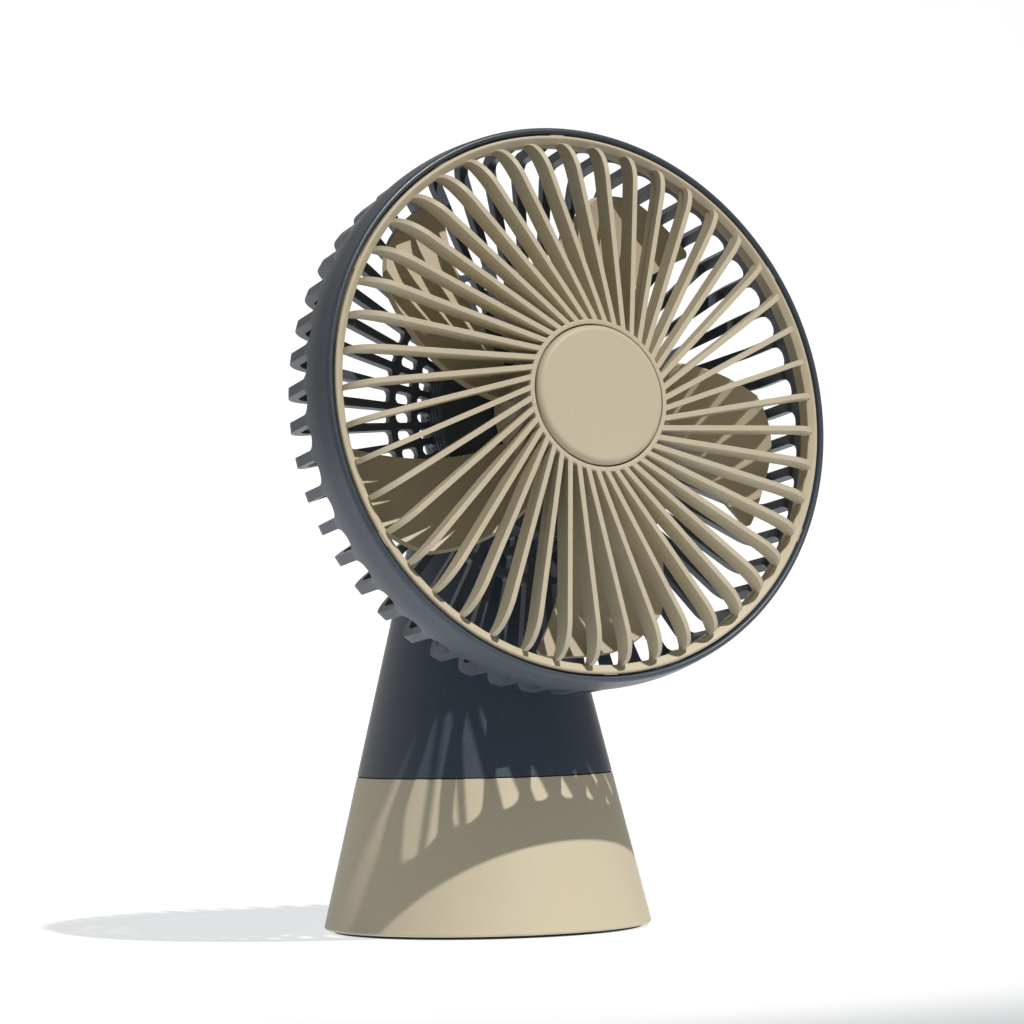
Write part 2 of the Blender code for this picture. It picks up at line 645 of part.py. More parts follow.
def motor_cover():
    """Closes the drum from behind, with a collar inside the drum."""
    top = -GUARD_DEPTH - GAP
    collar_r = DRUM_R - DRUM_WALL - GAP
    collar_in = collar_r - 1.4
    round_edge = arc((COVER_R - 2.5, top - 4.5), 2.5, 0, -50, 2)
    profile = ([(collar_r, top + 3), (collar_r, top), (COVER_R, top)] + round_edge
               + [(COVER_SHOULDER_R, -COVER_SHOULDER_AT), (COVER_FLAT_R + 3, -COVER_BACK + 0.6),
                  (COVER_FLAT_R, -COVER_BACK), (BORE_R, -COVER_BACK), (BORE_R, -COVER_BACK + COVER_WALL),
                  (COVER_FLAT_R, -COVER_BACK + COVER_WALL),
                  (COVER_SHOULDER_R - 0.5, -COVER_SHOULDER_AT + COVER_WALL),
                  (collar_in, top - 4.2), (collar_in, top + 3)])
    cover = turned("motor_cover", profile, SLATE, head, closed=True)
    holes = []
    for k in range(2):
        centre = (0, (1 - 2 * k) * KNUCKLE_FLANGE_R * 0.72)
        holes.append(rod(SCREW_R + GAP, -COVER_BACK - 2, -COVER_BACK + COVER_WALL + 2, centre, sides=12))
    cut(cover, merged(holes), "knuckle_screw_holes")
    under_can = -CAN_BACK - 0.9
    clear_r = (CAN_R + collar_in) / 2
    lead("motor_lead_head", [(0, 0, -COVER_BACK - 0.5), (1.5, 0, -COVER_BACK + COVER_WALL + 1.0),
                             (CAN_R * 0.55, 0, -COVER_BACK + COVER_WALL + 1.4),
                             (CAN_R - 2, 0, under_can), (clear_r, 0, -CAN_BACK + 3.0),
                             (clear_r + 1, 0, -CAN_BACK + CAN_LENGTH - 1)], head, LEAD_R * 0.55)


# --- tilt joint -----------------------------------------------------------------------------
def tilt_knuckle():
    """Flange under the cover and a rounded eye around the tilt pin; its frame is the tilt axis."""
    flange_high = PIVOT_BACK - COVER_BACK - GAP
    eye = rod(KNUCKLE_R, -KNUCKLE_WIDTH / 2, KNUCKLE_WIDTH / 2, sides=32,
              turn=Matrix.Rotation(math.radians(90), 4, "Y"))
    knuckle = piece("tilt_knuckle", mesh_from("tilt_knuckle", eye), SLATE, tilt_axis)
    smooth(knuckle.data)
    neck = block((KNUCKLE_WIDTH - 0.4, KNUCKLE_R * 1.7, flange_high - 0.5), (0, 0, (flange_high - 0.5) / 2))
    join(knuckle, neck, "knuckle_neck")
    join(knuckle, rod(KNUCKLE_FLANGE_R, flange_high - KNUCKLE_FLANGE, flange_high, sides=32),
         "knuckle_flange")
    turn_x = Matrix.Rotation(math.radians(90), 4, "Y")
    cut(knuckle, rod(PIN_R + GAP, -KNUCKLE_WIDTH, KNUCKLE_WIDTH, turn=turn_x), "pin_bore")
    holes, seats = [], []
    for k in range(2):
        side = (1 - 2 * k) * KNUCKLE_FLANGE_R * 0.72
        holes.append(rod(SCREW_R + GAP, -1.0, flange_high + 1, (0, side), sides=12))
        seats.append(rod(SCREW_HEAD_R + GAP, -KNUCKLE_R - 2, flange_high - KNUCKLE_FLANGE + 0.6,
                         (0, side), sides=16))
        seat = flange_high - KNUCKLE_FLANGE + 0.6 - GAP
        screw_node("knuckle_screw_%d" % (k + 1), tilt_axis, Matrix.Translation((0, side, seat)), length=5.0)
    way_low = PIN_R + GAP + 1.5
    cut(knuckle, rod(BORE_R, way_low, flange_high + 1), "lead_way")
    cut(knuckle, block((2 * LEAD_R + 2 * GAP, 2 * KNUCKLE_R, 3.2), (0, -KNUCKLE_R, way_low + 1.8)),
        "lead_exit")
    cut(knuckle, merged(holes), "knuckle_bores")
    cut(knuckle, merged(seats), "knuckle_seats")
    for label, side in (("left", -1), ("right", 1)):
        middle = side * (KNUCKLE_WIDTH / 2 + GAP + WASHER_THICK / 2)
        washer = ring("friction_washer_" + label, WASHER_R, PIN_R + GAP, WASHER_THICK / 2,
                      -WASHER_THICK / 2, NYLON, tilt_axis, 16)
        washer.matrix_local = Matrix.Translation((middle * MM, 0, 0)) @ turn_x


def tilt_pin():
    """Pin and nut through the yoke, each under a flush cap; they stay with the base."""
    face = YOKE_FACE
    seat = face - PIN_CAP_THICK - GAP - PIN_HEAD
    stem = turned("tilt_pin", [(0, seat + PIN_HEAD), (PIN_HEAD_R * 0.8, seat + PIN_HEAD),
                               (PIN_HEAD_R, seat + PIN_HEAD - 0.5), (PIN_HEAD_R, seat),
                               (PIN_R, seat), (PIN_R, -seat - PIN_HEAD), (0, -seat - PIN_HEAD)],
                  STEEL, yoke, 16)
    nut = hex_nut("tilt_nut", PIN_HEAD_R, -seat - PIN_HEAD, -seat, PIN_R + GAP, STEEL, yoke)
    for made in (stem, nut):
        made.matrix_local = Matrix.Rotation(math.radians(90), 4, "Y")
    for label, side in (("left", -1), ("right", 1)):
        cap = turned("pin_cap_" + label, [(0, 0), (PIN_CAP_R - 0.4, 0), (PIN_CAP_R, -0.4),
                                          (PIN_CAP_R, -PIN_CAP_THICK), (0, -PIN_CAP_THICK)],
                     SLATE, yoke, 16)
        cap.matrix_local = (Matrix.Translation((side * face * MM, 0, 0))
                            @ Matrix.Rotation(math.radians(90 * side), 4, "Y"))


# --- cone base ------------------------------------------------------------------------------
def upper_cone():
    top = TILT_Z + YOKE_TOP
    low = SEAM_Z + GAP / 2
    round_r = cone_r(top - YOKE_ROUND)
    spigot_r = cone_in(SEAM_Z) - GAP - 0.1
    spigot_in = spigot_r - 1.8
    meet = (cone_in(0) - spigot_in) / SLOPE
    profile = ([(0, top)] + arc((round_r - YOKE_ROUND, top - YOKE_ROUND), YOKE_ROUND, 80, 10, 3)
               + [(cone_r(low), low), (spigot_r, low), (spigot_r, low - SPIGOT), (spigot_in, low - SPIGOT),
                  (spigot_in, meet), (cone_in(CAVITY_TOP - 3), CAVITY_TOP - 3),
                  (cone_in(CAVITY_TOP) - 3, CAVITY_TOP), (0, CAVITY_TOP)])
    cone = turned("upper_cone", profile, SLATE, None, SIDES_LARGE)
    floor = TILT_Z - SLOT_FLOOR
    reach = 2 * BASE_R
    slot_back = TILT_Y + CHEEK_R + 1.5
    cut(cone, block((2 * SLOT_HALF, reach, reach), (0, slot_back - reach / 2, floor + reach / 2)),
        "yoke_slot")
    cut(cone, rod(BORE_R, CAVITY_TOP - 4, floor + 4), "lead_bore")
    cheeks = rod(CHEEK_R, -YOKE_FACE, YOKE_FACE, sides=28,
                 turn=Matrix.Translation((0, TILT_Y, TILT_Z)) @ Matrix.Rotation(math.radians(90), 4, "Y"))
    join(cone, cheeks, "yoke_cheeks")
    inner = rod(CHEEK_R + 1.0, -SLOT_HALF, SLOT_HALF, sides=28,
                turn=Matrix.Translation((0, TILT_Y, TILT_Z)) @ Matrix.Rotation(math.radians(90), 4, "Y"))
    cut(cone, inner, "knuckle_room")
    bores = []
    turn_x = Matrix.Translation((0, TILT_Y, TILT_Z)) @ Matrix.Rotation(math.radians(90), 4, "Y")
    seat = YOKE_FACE - PIN_CAP_THICK - 2 * GAP - PIN_HEAD
    bores.append(rod(PIN_R + GAP, -reach, reach, turn=turn_x))
    cut(cone, merged(bores), "pin_hole")
    for label, side in (("left", -1), ("right", 1)):
        near, far = sorted((side * seat, side * reach))
        cut(cone, rod(PIN_CAP_R + GAP, near, far, turn=turn_x, sides=20), "cap_seat_" + label)
    cut(cone, rod(BUTTON_R + GAP, -CONE_WALL * 3, 10, turn=place_4(button_axis), sides=28), "button_hole")
    light = place_4(button_axis) @ Matrix.Translation((0, LIGHT_ABOVE, 0))
    cut(cone, rod(LIGHT_R + GAP, -CONE_WALL * 3, 10, turn=light, sides=12), "light_hole")


def place_4(guide):
    """A guide's placing as a millimetre matrix."""
    place = guide.matrix_local.copy()
    place.translation = place.translation / MM
    return place


def lower_cone():
    top = SEAM_Z - GAP / 2
    low = LOWER_CONE_BOTTOM
    edge = [(cone_r(low + CONE_EDGE), low + CONE_EDGE), (cone_r(low) - CONE_EDGE * 0.3, low + 0.25),
            (cone_r(low) - CONE_EDGE, low)]
    profile = [(cone_r(top), top)] + edge + [(cone_in(low), low), (cone_in(top), top)]
    cone = turned("lower_cone", profile, BEIGE, None, SIDES_LARGE, closed=True)
    posts, bores = [], []
    for centre in post_centres():
        posts.append(rod(POST_R, INSIDE_Z, INSIDE_Z + POST_HEIGHT, centre, sides=12))
        bores.append(rod(SCREW_R + GAP, INSIDE_Z - 2, INSIDE_Z + POST_HEIGHT - 2, centre, sides=12))
    join(cone, merged(posts), "plate_posts")
    cut(cone, merged(bores), "plate_post_bores")
    opening = usb_place() @ Matrix.Rotation(math.radians(90), 4, "X")
    hole = rounded_slot(USB_WIDTH + 2 * GAP, USB_HEIGHT + 2 * GAP, 20)
    bmesh.ops.transform(hole, matrix=opening @ Matrix.Rotation(math.radians(-90), 4, "X"), verts=hole.verts)
    cut(cone, hole, "usb_hole")


def post_circle():
    """Screw posts stand against the inside of the lower cone."""
    return cone_in(INSIDE_Z + POST_HEIGHT) - POST_R + CONE_WALL * 0.5


def post_centres():
    radius = post_circle()
    angles = [math.radians(a) for a in (-90, 30, 150)]
    return [(radius * math.cos(a), radius * math.sin(a)) for a in angles]


def rounded_slot(width, height, length):
    """A bar of oblong section along local Z, centred."""
    half = (width - height) / 2
    outline = arc((half, 0), height / 2, -90, 90, 6) + arc((-half, 0), height / 2, 90, 270, 6)
    return plate(outline, length)


def usb_place():
    """Local Z points out of the cone's back at the charging socket."""
    place = place_4(button_axis)
    down = (BUTTON_Z - USB_Z) / math.cos(LEAN)
    return place @ Matrix.Translation((0, -down, 0))


def base_bottom():
    plate_r = cone_in(PLATE_Z + PLATE_THICK) - GAP
    base = turned("base_plate", [(0, PLATE_Z + PLATE_THICK), (plate_r, PLATE_Z + PLATE_THICK),
                                 (plate_r, PLATE_Z), (0, PLATE_Z)], BEIGE, None, 48)
    holes, seats = [], []
    for k, centre in enumerate(post_centres()):
        holes.append(rod(SCREW_R + GAP, PLATE_Z + 1, PLATE_Z + PLATE_THICK + 1, centre, sides=16))
        seats.append(rod(SCREW_HEAD_R + GAP, PLATE_Z - 1, PLATE_Z + SCREW_HEAD + GAP, centre, sides=16))
        screw_node("base_screw_%d" % (k + 1), None,
                   Matrix.Translation((centre[0], centre[1], PLATE_Z + SCREW_HEAD)))
    cut(base, merged(seats), "plate_seats")
    cut(base, merged(holes), "plate_holes")
    turned("rubber_foot", [(0, FOOT_THICK), (FOOT_R, FOOT_THICK), (FOOT_R, 0.3), (FOOT_R - 0.3, 0),
                           (0, 0)], RUBBER, None, SIDES_LARGE)
    ballast_r = post_circle() - POST_R - BALLAST_GAP
    ballast_top = INSIDE_Z + BALLAST_THICK
    turned("ballast_weight", [(0, ballast_top), (ballast_r - 0.6, ballast_top),
                              (ballast_r, ballast_top - 0.6), (ballast_r, INSIDE_Z), (0, INSIDE_Z)], IRON)


def battery():
    floor = INSIDE_Z + BALLAST_THICK + GAP
    gap_x = CELL_R + GAP + 0.3
    low = floor + HOLDER_WALL + GAP
    size = (2 * gap_x + 2 * CELL_R + 2 * HOLDER_WALL + 2 * GAP, 2 * (CELL_R + HOLDER_WALL + GAP))
    holder = piece("battery_holder", mesh_from("battery_holder", block(
        (size[0], size[1], HOLDER_HEIGHT), (0, 0, floor + HOLDER_HEIGHT / 2))), LEAD)
    clip_z = floor + CELL_LENGTH * 0.75
    clip = piece("battery_clip", mesh_from("battery_clip", block(
        (size[0], size[1], HOLDER_HEIGHT), (0, 0, clip_z))), LEAD)
    for label, side in (("left", -1), ("right", 1)):
        centre = (side * gap_x, 0)
        cut(holder, rod(CELL_R + GAP, floor + HOLDER_WALL, floor + HOLDER_HEIGHT + 5, centre, sides=20),
            "cell_pocket_" + label)
        cut(clip, rod(CELL_R + GAP, clip_z - HOLDER_HEIGHT, clip_z + HOLDER_HEIGHT, centre, sides=20),
            "cell_way_" + label)
        cell = turned("battery_cell_" + label, [
            (0, low + CELL_LENGTH), (CELL_NIP, low + CELL_LENGTH), (CELL_NIP, low + CELL_LENGTH - 1),
            (CELL_R - 0.5, low + CELL_LENGTH - 1), (CELL_R, low + CELL_LENGTH - 1.6), (CELL_R, low + 0.4),
            (CELL_R - 0.4, low), (0, low)], WRAP, None, 18)
        cell.location = (side * gap_x * MM, 0, 0)


def electronics():
    """Board parallel to the cone's back wall, with what is on it."""
    usb_down = (BUTTON_Z - USB_Z) / math.cos(LEAN)
    middle = -(usb_down + 6) + BOARD_LENGTH / 2
    board_bm = block((BOARD_WIDTH, BOARD_LENGTH, BOARD_THICK), (0, middle, -BOARD_DEPTH - BOARD_THICK / 2))
    piece("circuit_board", mesh_from("circuit_board", board_bm), BOARD, button_axis)
    button_face = BUTTON_PROUD
    radius = BUTTON_R
    under = -BUTTON_FLANGE_AT - BUTTON_FLANGE
    turned("power_button", [(0, button_face - 0.3), (radius * 0.6, button_face - 0.2),
                            (radius - 0.7, button_face), (radius, button_face - 0.7),
                            (radius, -BUTTON_FLANGE_AT), (BUTTON_FLANGE_R, -BUTTON_FLANGE_AT),
                            (BUTTON_FLANGE_R, under), (0, under)], SLATE, button_axis, 24)
    switch_top = under - BUTTON_TRAVEL - GAP
    switch_low = -BOARD_DEPTH + GAP
    body_top = switch_low + (switch_top - switch_low) * 0.7
    switch = piece("tact_switch", mesh_from("tact_switch", block(
        (SWITCH_SIZE, SWITCH_SIZE, body_top - switch_low), (0, 0, (body_top + switch_low) / 2))),
        LEAD, button_axis)
    join(switch, rod(1.7, body_top - 1, switch_top, sides=16), "switch_stem")
    pipe_low = -BOARD_DEPTH + GAP
    pipe = turned("light_pipe", [(0, 0.15), (LIGHT_R * 0.7, 0.1), (LIGHT_R, -0.3), (LIGHT_R, pipe_low),
                                 (0, pipe_low)], CLEAR, button_axis, 16)
    pipe.location = (0, LIGHT_ABOVE * MM, 0)
    shell = rounded_slot(USB_WIDTH, USB_HEIGHT, BOARD_DEPTH - USB_INSET - GAP)
    mid = -(BOARD_DEPTH + USB_INSET - GAP) / 2
    bmesh.ops.translate(shell, vec=(0, -usb_down, mid), verts=shell.verts)
    socket = piece("usb_socket", mesh_from("usb_socket", shell), STEEL, button_axis)
    hollow = rounded_slot(USB_WIDTH - 0.8, USB_HEIGHT - 0.8, 12)
    bmesh.ops.translate(hollow, vec=(0, -usb_down, -USB_INSET), verts=hollow.verts)
    cut(socket, hollow, "usb_inside")
    tongue = block((USB_WIDTH - 2.6, 0.7, 6.4), (0, -usb_down, -USB_INSET - 4.0))
    join(socket, tongue, "usb_tongue")


def lead(name, route, parent, radius=LEAD_R):
    """Round lead along a smooth curve through the route's points."""
    curve = bpy.data.curves.new(name, "CURVE")
    curve.dimensions = "3D"
    curve.bevel_depth = radius * MM
    curve.bevel_resolution = 2
    curve.use_fill_caps = True
    curve.resolution_u = 1
    line = curve.splines.new("POLY")
    steps = 3
    points = []
    for k in range(len(route) - 1):
        before = Vector(route[max(k - 1, 0)])
        here, there = Vector(route[k]), Vector(route[k + 1])
        after = Vector(route[min(k + 2, len(route) - 1)])
        for s in range(steps):
            t = s / steps
            points.append(0.5 * ((2 * here) + (there - before) * t
                                 + (2 * before - 5 * here + 4 * there - after) * t * t
                                 + (3 * here - before - 3 * there + after) * t ** 3))
    points.append(Vector(route[-1]))
    line.points.add(len(points) - 1)
    for point, place in zip(line.points, points):
        point.co = (*(place * MM), 1)
    made = bpy.data.objects.new(name, curve)
    parts.objects.link(made)
    made.parent = parent
    curve.materials.append(LEAD)
    return made


def base_lead():
    """From the board's top edge up through the cone to the slot's floor."""
    start_y = cone_r(BUTTON_Z) - BOARD_DEPTH - 8
    lead("motor_lead_base", [(0, start_y, BUTTON_Z + 14), (0, start_y - 5, BUTTON_Z + 30),
                             (0, 3, BUTTON_Z + 46), (0, 0, CAVITY_TOP - 8),
                             (0, 0, TILT_Z - SLOT_FLOOR - 1)], None)


yoke = empty("yoke_guide", (0, TILT_Y, TILT_Z))
front_grille()
hub_cap()
rear_guard()
impeller()
motor()
motor_cover()
tilt_knuckle()
tilt_pin()
upper_cone()
lower_cone()
base_bottom()
battery()
electronics()
base_lead()
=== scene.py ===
"""Looks of a small round table fan: a tilting grille head on a two-tone cone base.

Lengths are millimetres while a piece is modelled and metres once it is in the scene. The head's
own frame has its +Z along the fan's axis, forward, and its origin in the plane of the front rim,
so what lies behind that plane has a negative height there.
"""
import math

import bmesh
import bpy
from mathutils import Matrix, Vector
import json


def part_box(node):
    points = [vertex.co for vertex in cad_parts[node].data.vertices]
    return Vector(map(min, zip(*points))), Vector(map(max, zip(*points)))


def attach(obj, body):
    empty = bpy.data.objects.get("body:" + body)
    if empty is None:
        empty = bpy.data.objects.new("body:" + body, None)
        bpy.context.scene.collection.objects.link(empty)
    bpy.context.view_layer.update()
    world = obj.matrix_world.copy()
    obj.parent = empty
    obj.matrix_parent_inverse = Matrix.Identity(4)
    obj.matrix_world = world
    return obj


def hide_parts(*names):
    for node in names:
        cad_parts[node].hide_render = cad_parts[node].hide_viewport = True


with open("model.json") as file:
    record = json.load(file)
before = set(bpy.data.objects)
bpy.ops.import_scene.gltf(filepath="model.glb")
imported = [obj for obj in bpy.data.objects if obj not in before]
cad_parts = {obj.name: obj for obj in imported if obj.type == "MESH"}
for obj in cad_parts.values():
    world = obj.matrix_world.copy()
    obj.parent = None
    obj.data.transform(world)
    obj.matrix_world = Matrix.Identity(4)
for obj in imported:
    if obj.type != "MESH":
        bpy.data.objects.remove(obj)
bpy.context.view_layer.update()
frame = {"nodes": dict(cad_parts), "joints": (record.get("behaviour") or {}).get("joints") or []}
MM = 0.001
NODES = frame["nodes"]
JOINTS = {joint["name"]: joint for joint in frame["joints"]}

# --- where things are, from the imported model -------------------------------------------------
pivot = Vector(JOINTS["head_tilt"]["pos_m"]) / MM
forward = Vector(JOINTS["fan_spin"]["axis"]).normalized()
PIVOT_BACK = 59.1                  # tilt axis behind the rim plane
REST_TILT = math.asin(forward.z)
head_place = (Matrix.Translation(pivot + PIVOT_BACK * forward)
              @ Matrix.Rotation(math.radians(90) - REST_TILT, 4, "X"))
pivot_place = Matrix.Translation(pivot)

low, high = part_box("lower_cone")
BASE_R = 50.0                      # the cone's outer radius, carried down to the table
PIVOT_R = 14.66                    # and at the height of the tilt axis
SEAM_LOW, CONE_LOW = high.z / MM, low.z / MM
low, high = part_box("upper_cone")
CONE_TOP = high.z / MM
SEAM_HIGH = SEAM_LOW + 0.3
SLOPE = (BASE_R - PIVOT_R) / pivot.z
LEAN = math.atan(SLOPE)
CONE_WALL = 2.2
BUTTON_Z, SOCKET_Z = 62.0, 21.0    # on the back of the cone
LIGHT_ABOVE = 12.0                 # light pipe above the button, along the cone
PIN_CAP_OUT = 13.0                 # outer face of the yoke, off the middle


def cone_r(z):
    """Outer radius of the cone base at height z."""
    return BASE_R - SLOPE * z


button_place = (Matrix.Translation((0, cone_r(BUTTON_Z), BUTTON_Z))
                @ Matrix.Rotation(math.pi, 4, "Z")
                @ Matrix.Rotation(math.radians(90) - LEAN, 4, "X"))
light_place = button_place @ Matrix.Translation((0, LIGHT_ABOVE, 0))
socket_place = button_place @ Matrix.Translation((0, -(BUTTON_Z - SOCKET_Z) / math.cos(LEAN), 0))


# --- shader sums -----------------------------------------------------------------------------
class Wire:
    """A shader output that can stand in a sum; make() adds any node but a Math one."""

    def __init__(self, tree, port=None):
        self.tree = tree
        self.port = port

    def make(self, kind, settings=None, values=None, out=0):
        node = self.tree.nodes.new("ShaderNode" + kind)
        for key, value in (settings or {}).items():
            if key == "stops":
                ramp = node.color_ramp.elements
                while len(ramp) < len(value):
                    ramp.new(0.5)
                for stop, (place, colour) in zip(ramp, value):
                    stop.position = place
                    stop.color = (*colour, 1.0)
            else:
                setattr(node, key, value)
        for key, value in (values or {}).items():
            if isinstance(value, Wire):
                self.tree.links.new(value.port, node.inputs[key])
            else:
                node.inputs[key].default_value = value
        return Wire(self.tree, node.outputs[out])

    def other(self, out):
        """Another output of the same node."""
        return Wire(self.tree, self.port.node.outputs[out])

    def sum(self, operation, *terms):
        return self.make("Math", {"operation": operation}, dict(enumerate(terms)))

    def __add__(self, other):
        return self.sum("ADD", self, other)

    def __sub__(self, other):
        return self.sum("SUBTRACT", self, other)

    def __rsub__(self, other):
        return self.sum("SUBTRACT", other, self)

    def __mul__(self, other):
        return self.sum("MULTIPLY", self, other)

    __radd__ = __add__
    __rmul__ = __mul__

    def span(self, low, high, to_low=0.0, to_high=1.0):
        """Smooth step from one range of values to another."""
        return self.make("MapRange", {"interpolation_type": "SMOOTHSTEP"},
                         {0: self, 1: low, 2: high, 3: to_low, 4: to_high})

    def blend(self, first, second):
        """Colour between two, by this value."""
        return self.make("Mix", {"data_type": "RGBA"}, {0: self, 6: first, 7: second}, out=2)


def noise(where, scale, detail=2.0, rough=0.5):
    return where.make("TexNoise", None, {"Vector": where, "Scale": scale, "Detail": detail,
                                         "Roughness": rough})


def stretched(where, scale):
    """Coordinates scaled unevenly, so that a noise on them runs as streaks."""
    return where.make("Mapping", None, {"Vector": where, "Scale": scale})


def finish(name, build, **sockets):
    """A material whose varying links come from build(where) and whose constants are sockets."""
    made = bpy.data.materials.new(name)
    made.use_nodes = True
    tree = made.node_tree
    shader = tree.nodes["Principled BSDF"]
    for key, value in sockets.items():
        shader.inputs[key.replace("_", " ")].default_value = value
    where = Wire(tree).make("TexCoord", None, None, out=3)
    for key, wire in build(where).items():
        tree.links.new(wire.port, shader.inputs[key])
    return made


def rgb(*shade):
    return (*shade, 1.0)


def moulded(name, colour, dark, light, grain, depth, gloss, shine):
    """Spark-textured moulded plastic: fine pits, faint mottling and a few paler specks."""

    def build(where):
        mottle = noise(where, 24.0, 2.0)
        speck = noise(where, grain, 2.0, 0.6)
        dust = noise(where, grain * 0.45, 2.0).span(0.62, 0.74)
        tone = (mottle * 0.2 + speck * 0.8).span(0.34, 0.66)
        body = tone.blend(rgb(*dark), rgb(*colour))
        rough = gloss + (speck - 0.5) * 0.16 + (mottle - 0.5) * 0.06
        pits = noise(where, grain * 1.6, 3.0, 0.65)
        bump = where.make("Bump", None, {"Strength": 0.55, "Distance": depth, "Height": pits})
        return {"Base Color": (dust * 0.22).blend(body, rgb(*light)), "Roughness": rough,
                "Normal": bump}

    return finish(name, build, Specular_IOR_Level=shine, IOR=1.48)


def metal(name, dark, light, rough, streaks):
    """Machined or drawn metal with streaks one way and dull patches."""

    def build(where):
        lines = noise(stretched(where, streaks), 1.0, 4.0)
        patch = noise(where, 90.0, 3.0)
        tone = (lines * 0.6 + patch * 0.4).span(0.3, 0.7)
        bump = where.make("Bump", None, {"Strength": 0.3, "Distance": 0.00003, "Height": lines})
        return {"Base Color": tone.blend(rgb(*dark), rgb(*light)),
                "Roughness": rough + (patch - 0.5) * 0.25 + (lines - 0.5) * 0.12, "Normal": bump}

    return finish(name, build, Metallic=1.0)


def rubbery(name, dark, light, rough, grain):
    def build(where):
        speck = noise(where, grain, 3.0, 0.6)
        dust = noise(where, 55.0, 4.0).span(0.45, 0.75)
        bump = where.make("Bump", None, {"Strength": 0.5, "Distance": 0.00006, "Height": speck})
        return {"Base Color": (dust * 0.5 + speck * 0.3).blend(rgb(*dark), rgb(*light)),
                "Roughness": rough + (speck - 0.5) * 0.15 + dust * 0.06, "Normal": bump}

    return finish(name, build, Specular_IOR_Level=0.35)


def circuit(name):
    """Green board: solder mask over etched tracks on a square grid."""

    def build(where):
        grid = where.make("TexVoronoi", {"distance": "MANHATTAN", "feature": "F1"},
                          {"Vector": where, "Scale": 420.0})
        track = grid.span(0.30, 0.36)
        cloud = noise(where, 120.0)
        bump = where.make("Bump", None, {"Strength": 0.6, "Distance": 0.00004,
                                         "Height": 1 - track})
        return {"Base Color": track.blend(rgb(0.05, 0.26, 0.10), rgb(0.012, 0.10, 0.045)),
                "Roughness": 0.38 + cloud * 0.14, "Normal": bump}

    return finish(name, build, Coat_Weight=0.4)


def wound(name):
    """Enamelled copper wire laid side by side."""

    def build(where):
        turn = where.make("TexWave", {"wave_type": "RINGS", "rings_direction": "SPHERICAL"},
                          {"Vector": where, "Scale": 620.0, "Distortion": 1.2}, out=1)
        tarnish = noise(where, 160.0, 3.0)
        bump = where.make("Bump", None, {"Strength": 0.9, "Distance": 0.0002, "Height": turn})
        return {"Base Color": (turn * 0.6 + tarnish * 0.4).blend(rgb(0.30, 0.09, 0.03),
                                                                 rgb(0.80, 0.36, 0.18)),
                "Roughness": 0.28 + tarnish * 0.2, "Normal": bump}

    return finish(name, build, Metallic=1.0)


def translucent(name):
    def build(where):
        cloud = noise(where, 600.0, 3.0)
        bump = where.make("Bump", None, {"Strength": 0.2, "Distance": 0.00003, "Height": cloud})
        return {"Base Color": cloud.blend(rgb(0.70, 0.73, 0.72), rgb(0.90, 0.92, 0.90)),
                "Roughness": 0.18 + cloud * 0.1, "Normal": bump}

    return finish(name, build, Coat_Weight=0.5)


FAR_X, FAR_Y = 0.479, 0.878        # direction over the table to the far end of the paper


def studio_paper(name):
    """Matte pale paper, lit through at its far end, so that the object stands on white."""

    def build(where):
        cloud = noise(where, 7.0, 3.0)
        x = where.make("SeparateXYZ", None, {"Vector": where})
        y, height = x.other(1), x.other(2)
        along = x * FAR_X + y * FAR_Y
        aside = x.sum("ABSOLUTE", x * FAR_Y - y * FAR_X)
        glow = (along.span(-0.60, -0.25) * aside.span(0.45, 1.1, 1.0, 0.1)
                * height.span(0.7, 1.4, 1.0, 0.1))
        return {"Base Color": cloud.blend(rgb(0.36, 0.36, 0.36), rgb(0.39, 0.39, 0.387)),
                "Roughness": 0.72 + cloud * 0.08,
                "Emission Color": glow.blend(rgb(0.03, 0.03, 0.03), rgb(0.97, 1.0, 1.02))}

    return finish(name, build, Specular_IOR_Level=0.15, Emission_Strength=0.68)


BEIGE = moulded("beige_plastic", (0.60, 0.54, 0.405), (0.565, 0.507, 0.378), (0.68, 0.625, 0.49),
                2600.0, 0.00004, 0.48, 0.40)
SLATE = moulded("slate_plastic", (0.062, 0.081, 0.110), (0.052, 0.069, 0.095), (0.15, 0.175, 0.21),
                2200.0, 0.00004, 0.37, 0.62)
RUBBER = rubbery("black_rubber", (0.012, 0.012, 0.012), (0.045, 0.044, 0.042), 0.78, 1700.0)
LEAD = rubbery("lead_black", (0.016, 0.016, 0.017), (0.05, 0.05, 0.05), 0.48, 1200.0)
NYLON = rubbery("white_nylon", (0.62, 0.61, 0.57), (0.80, 0.79, 0.74), 0.46, 900.0)
WRAP = rubbery("cell_wrap", (0.025, 0.14, 0.22), (0.07, 0.24, 0.34), 0.32, 500.0)
STEEL = metal("steel", (0.42, 0.42, 0.43), (0.68, 0.68, 0.69), 0.28, (900.0, 900.0, 5000.0))
ALUMINIUM = metal("aluminium", (0.55, 0.56, 0.57), (0.78, 0.79, 0.80), 0.38,
                  (700.0, 4000.0, 700.0))
IRON = metal("iron", (0.07, 0.07, 0.075), (0.18, 0.18, 0.185), 0.55, (700.0, 700.0, 3500.0))
COPPER = wound("copper")
BOARD = circuit("board_green")
CLEAR = translucent("light_pipe")
PAPER = studio_paper("pale_paper")

FINISHES = {"beige_plastic": BEIGE, "slate_plastic": SLATE, "black_rubber": RUBBER, "steel": STEEL,
            "aluminium": ALUMINIUM, "iron": IRON, "copper": COPPER, "white_nylon": NYLON,
            "cell_wrap": WRAP, "board_green": BOARD, "light_pipe": CLEAR, "lead_black": LEAD}


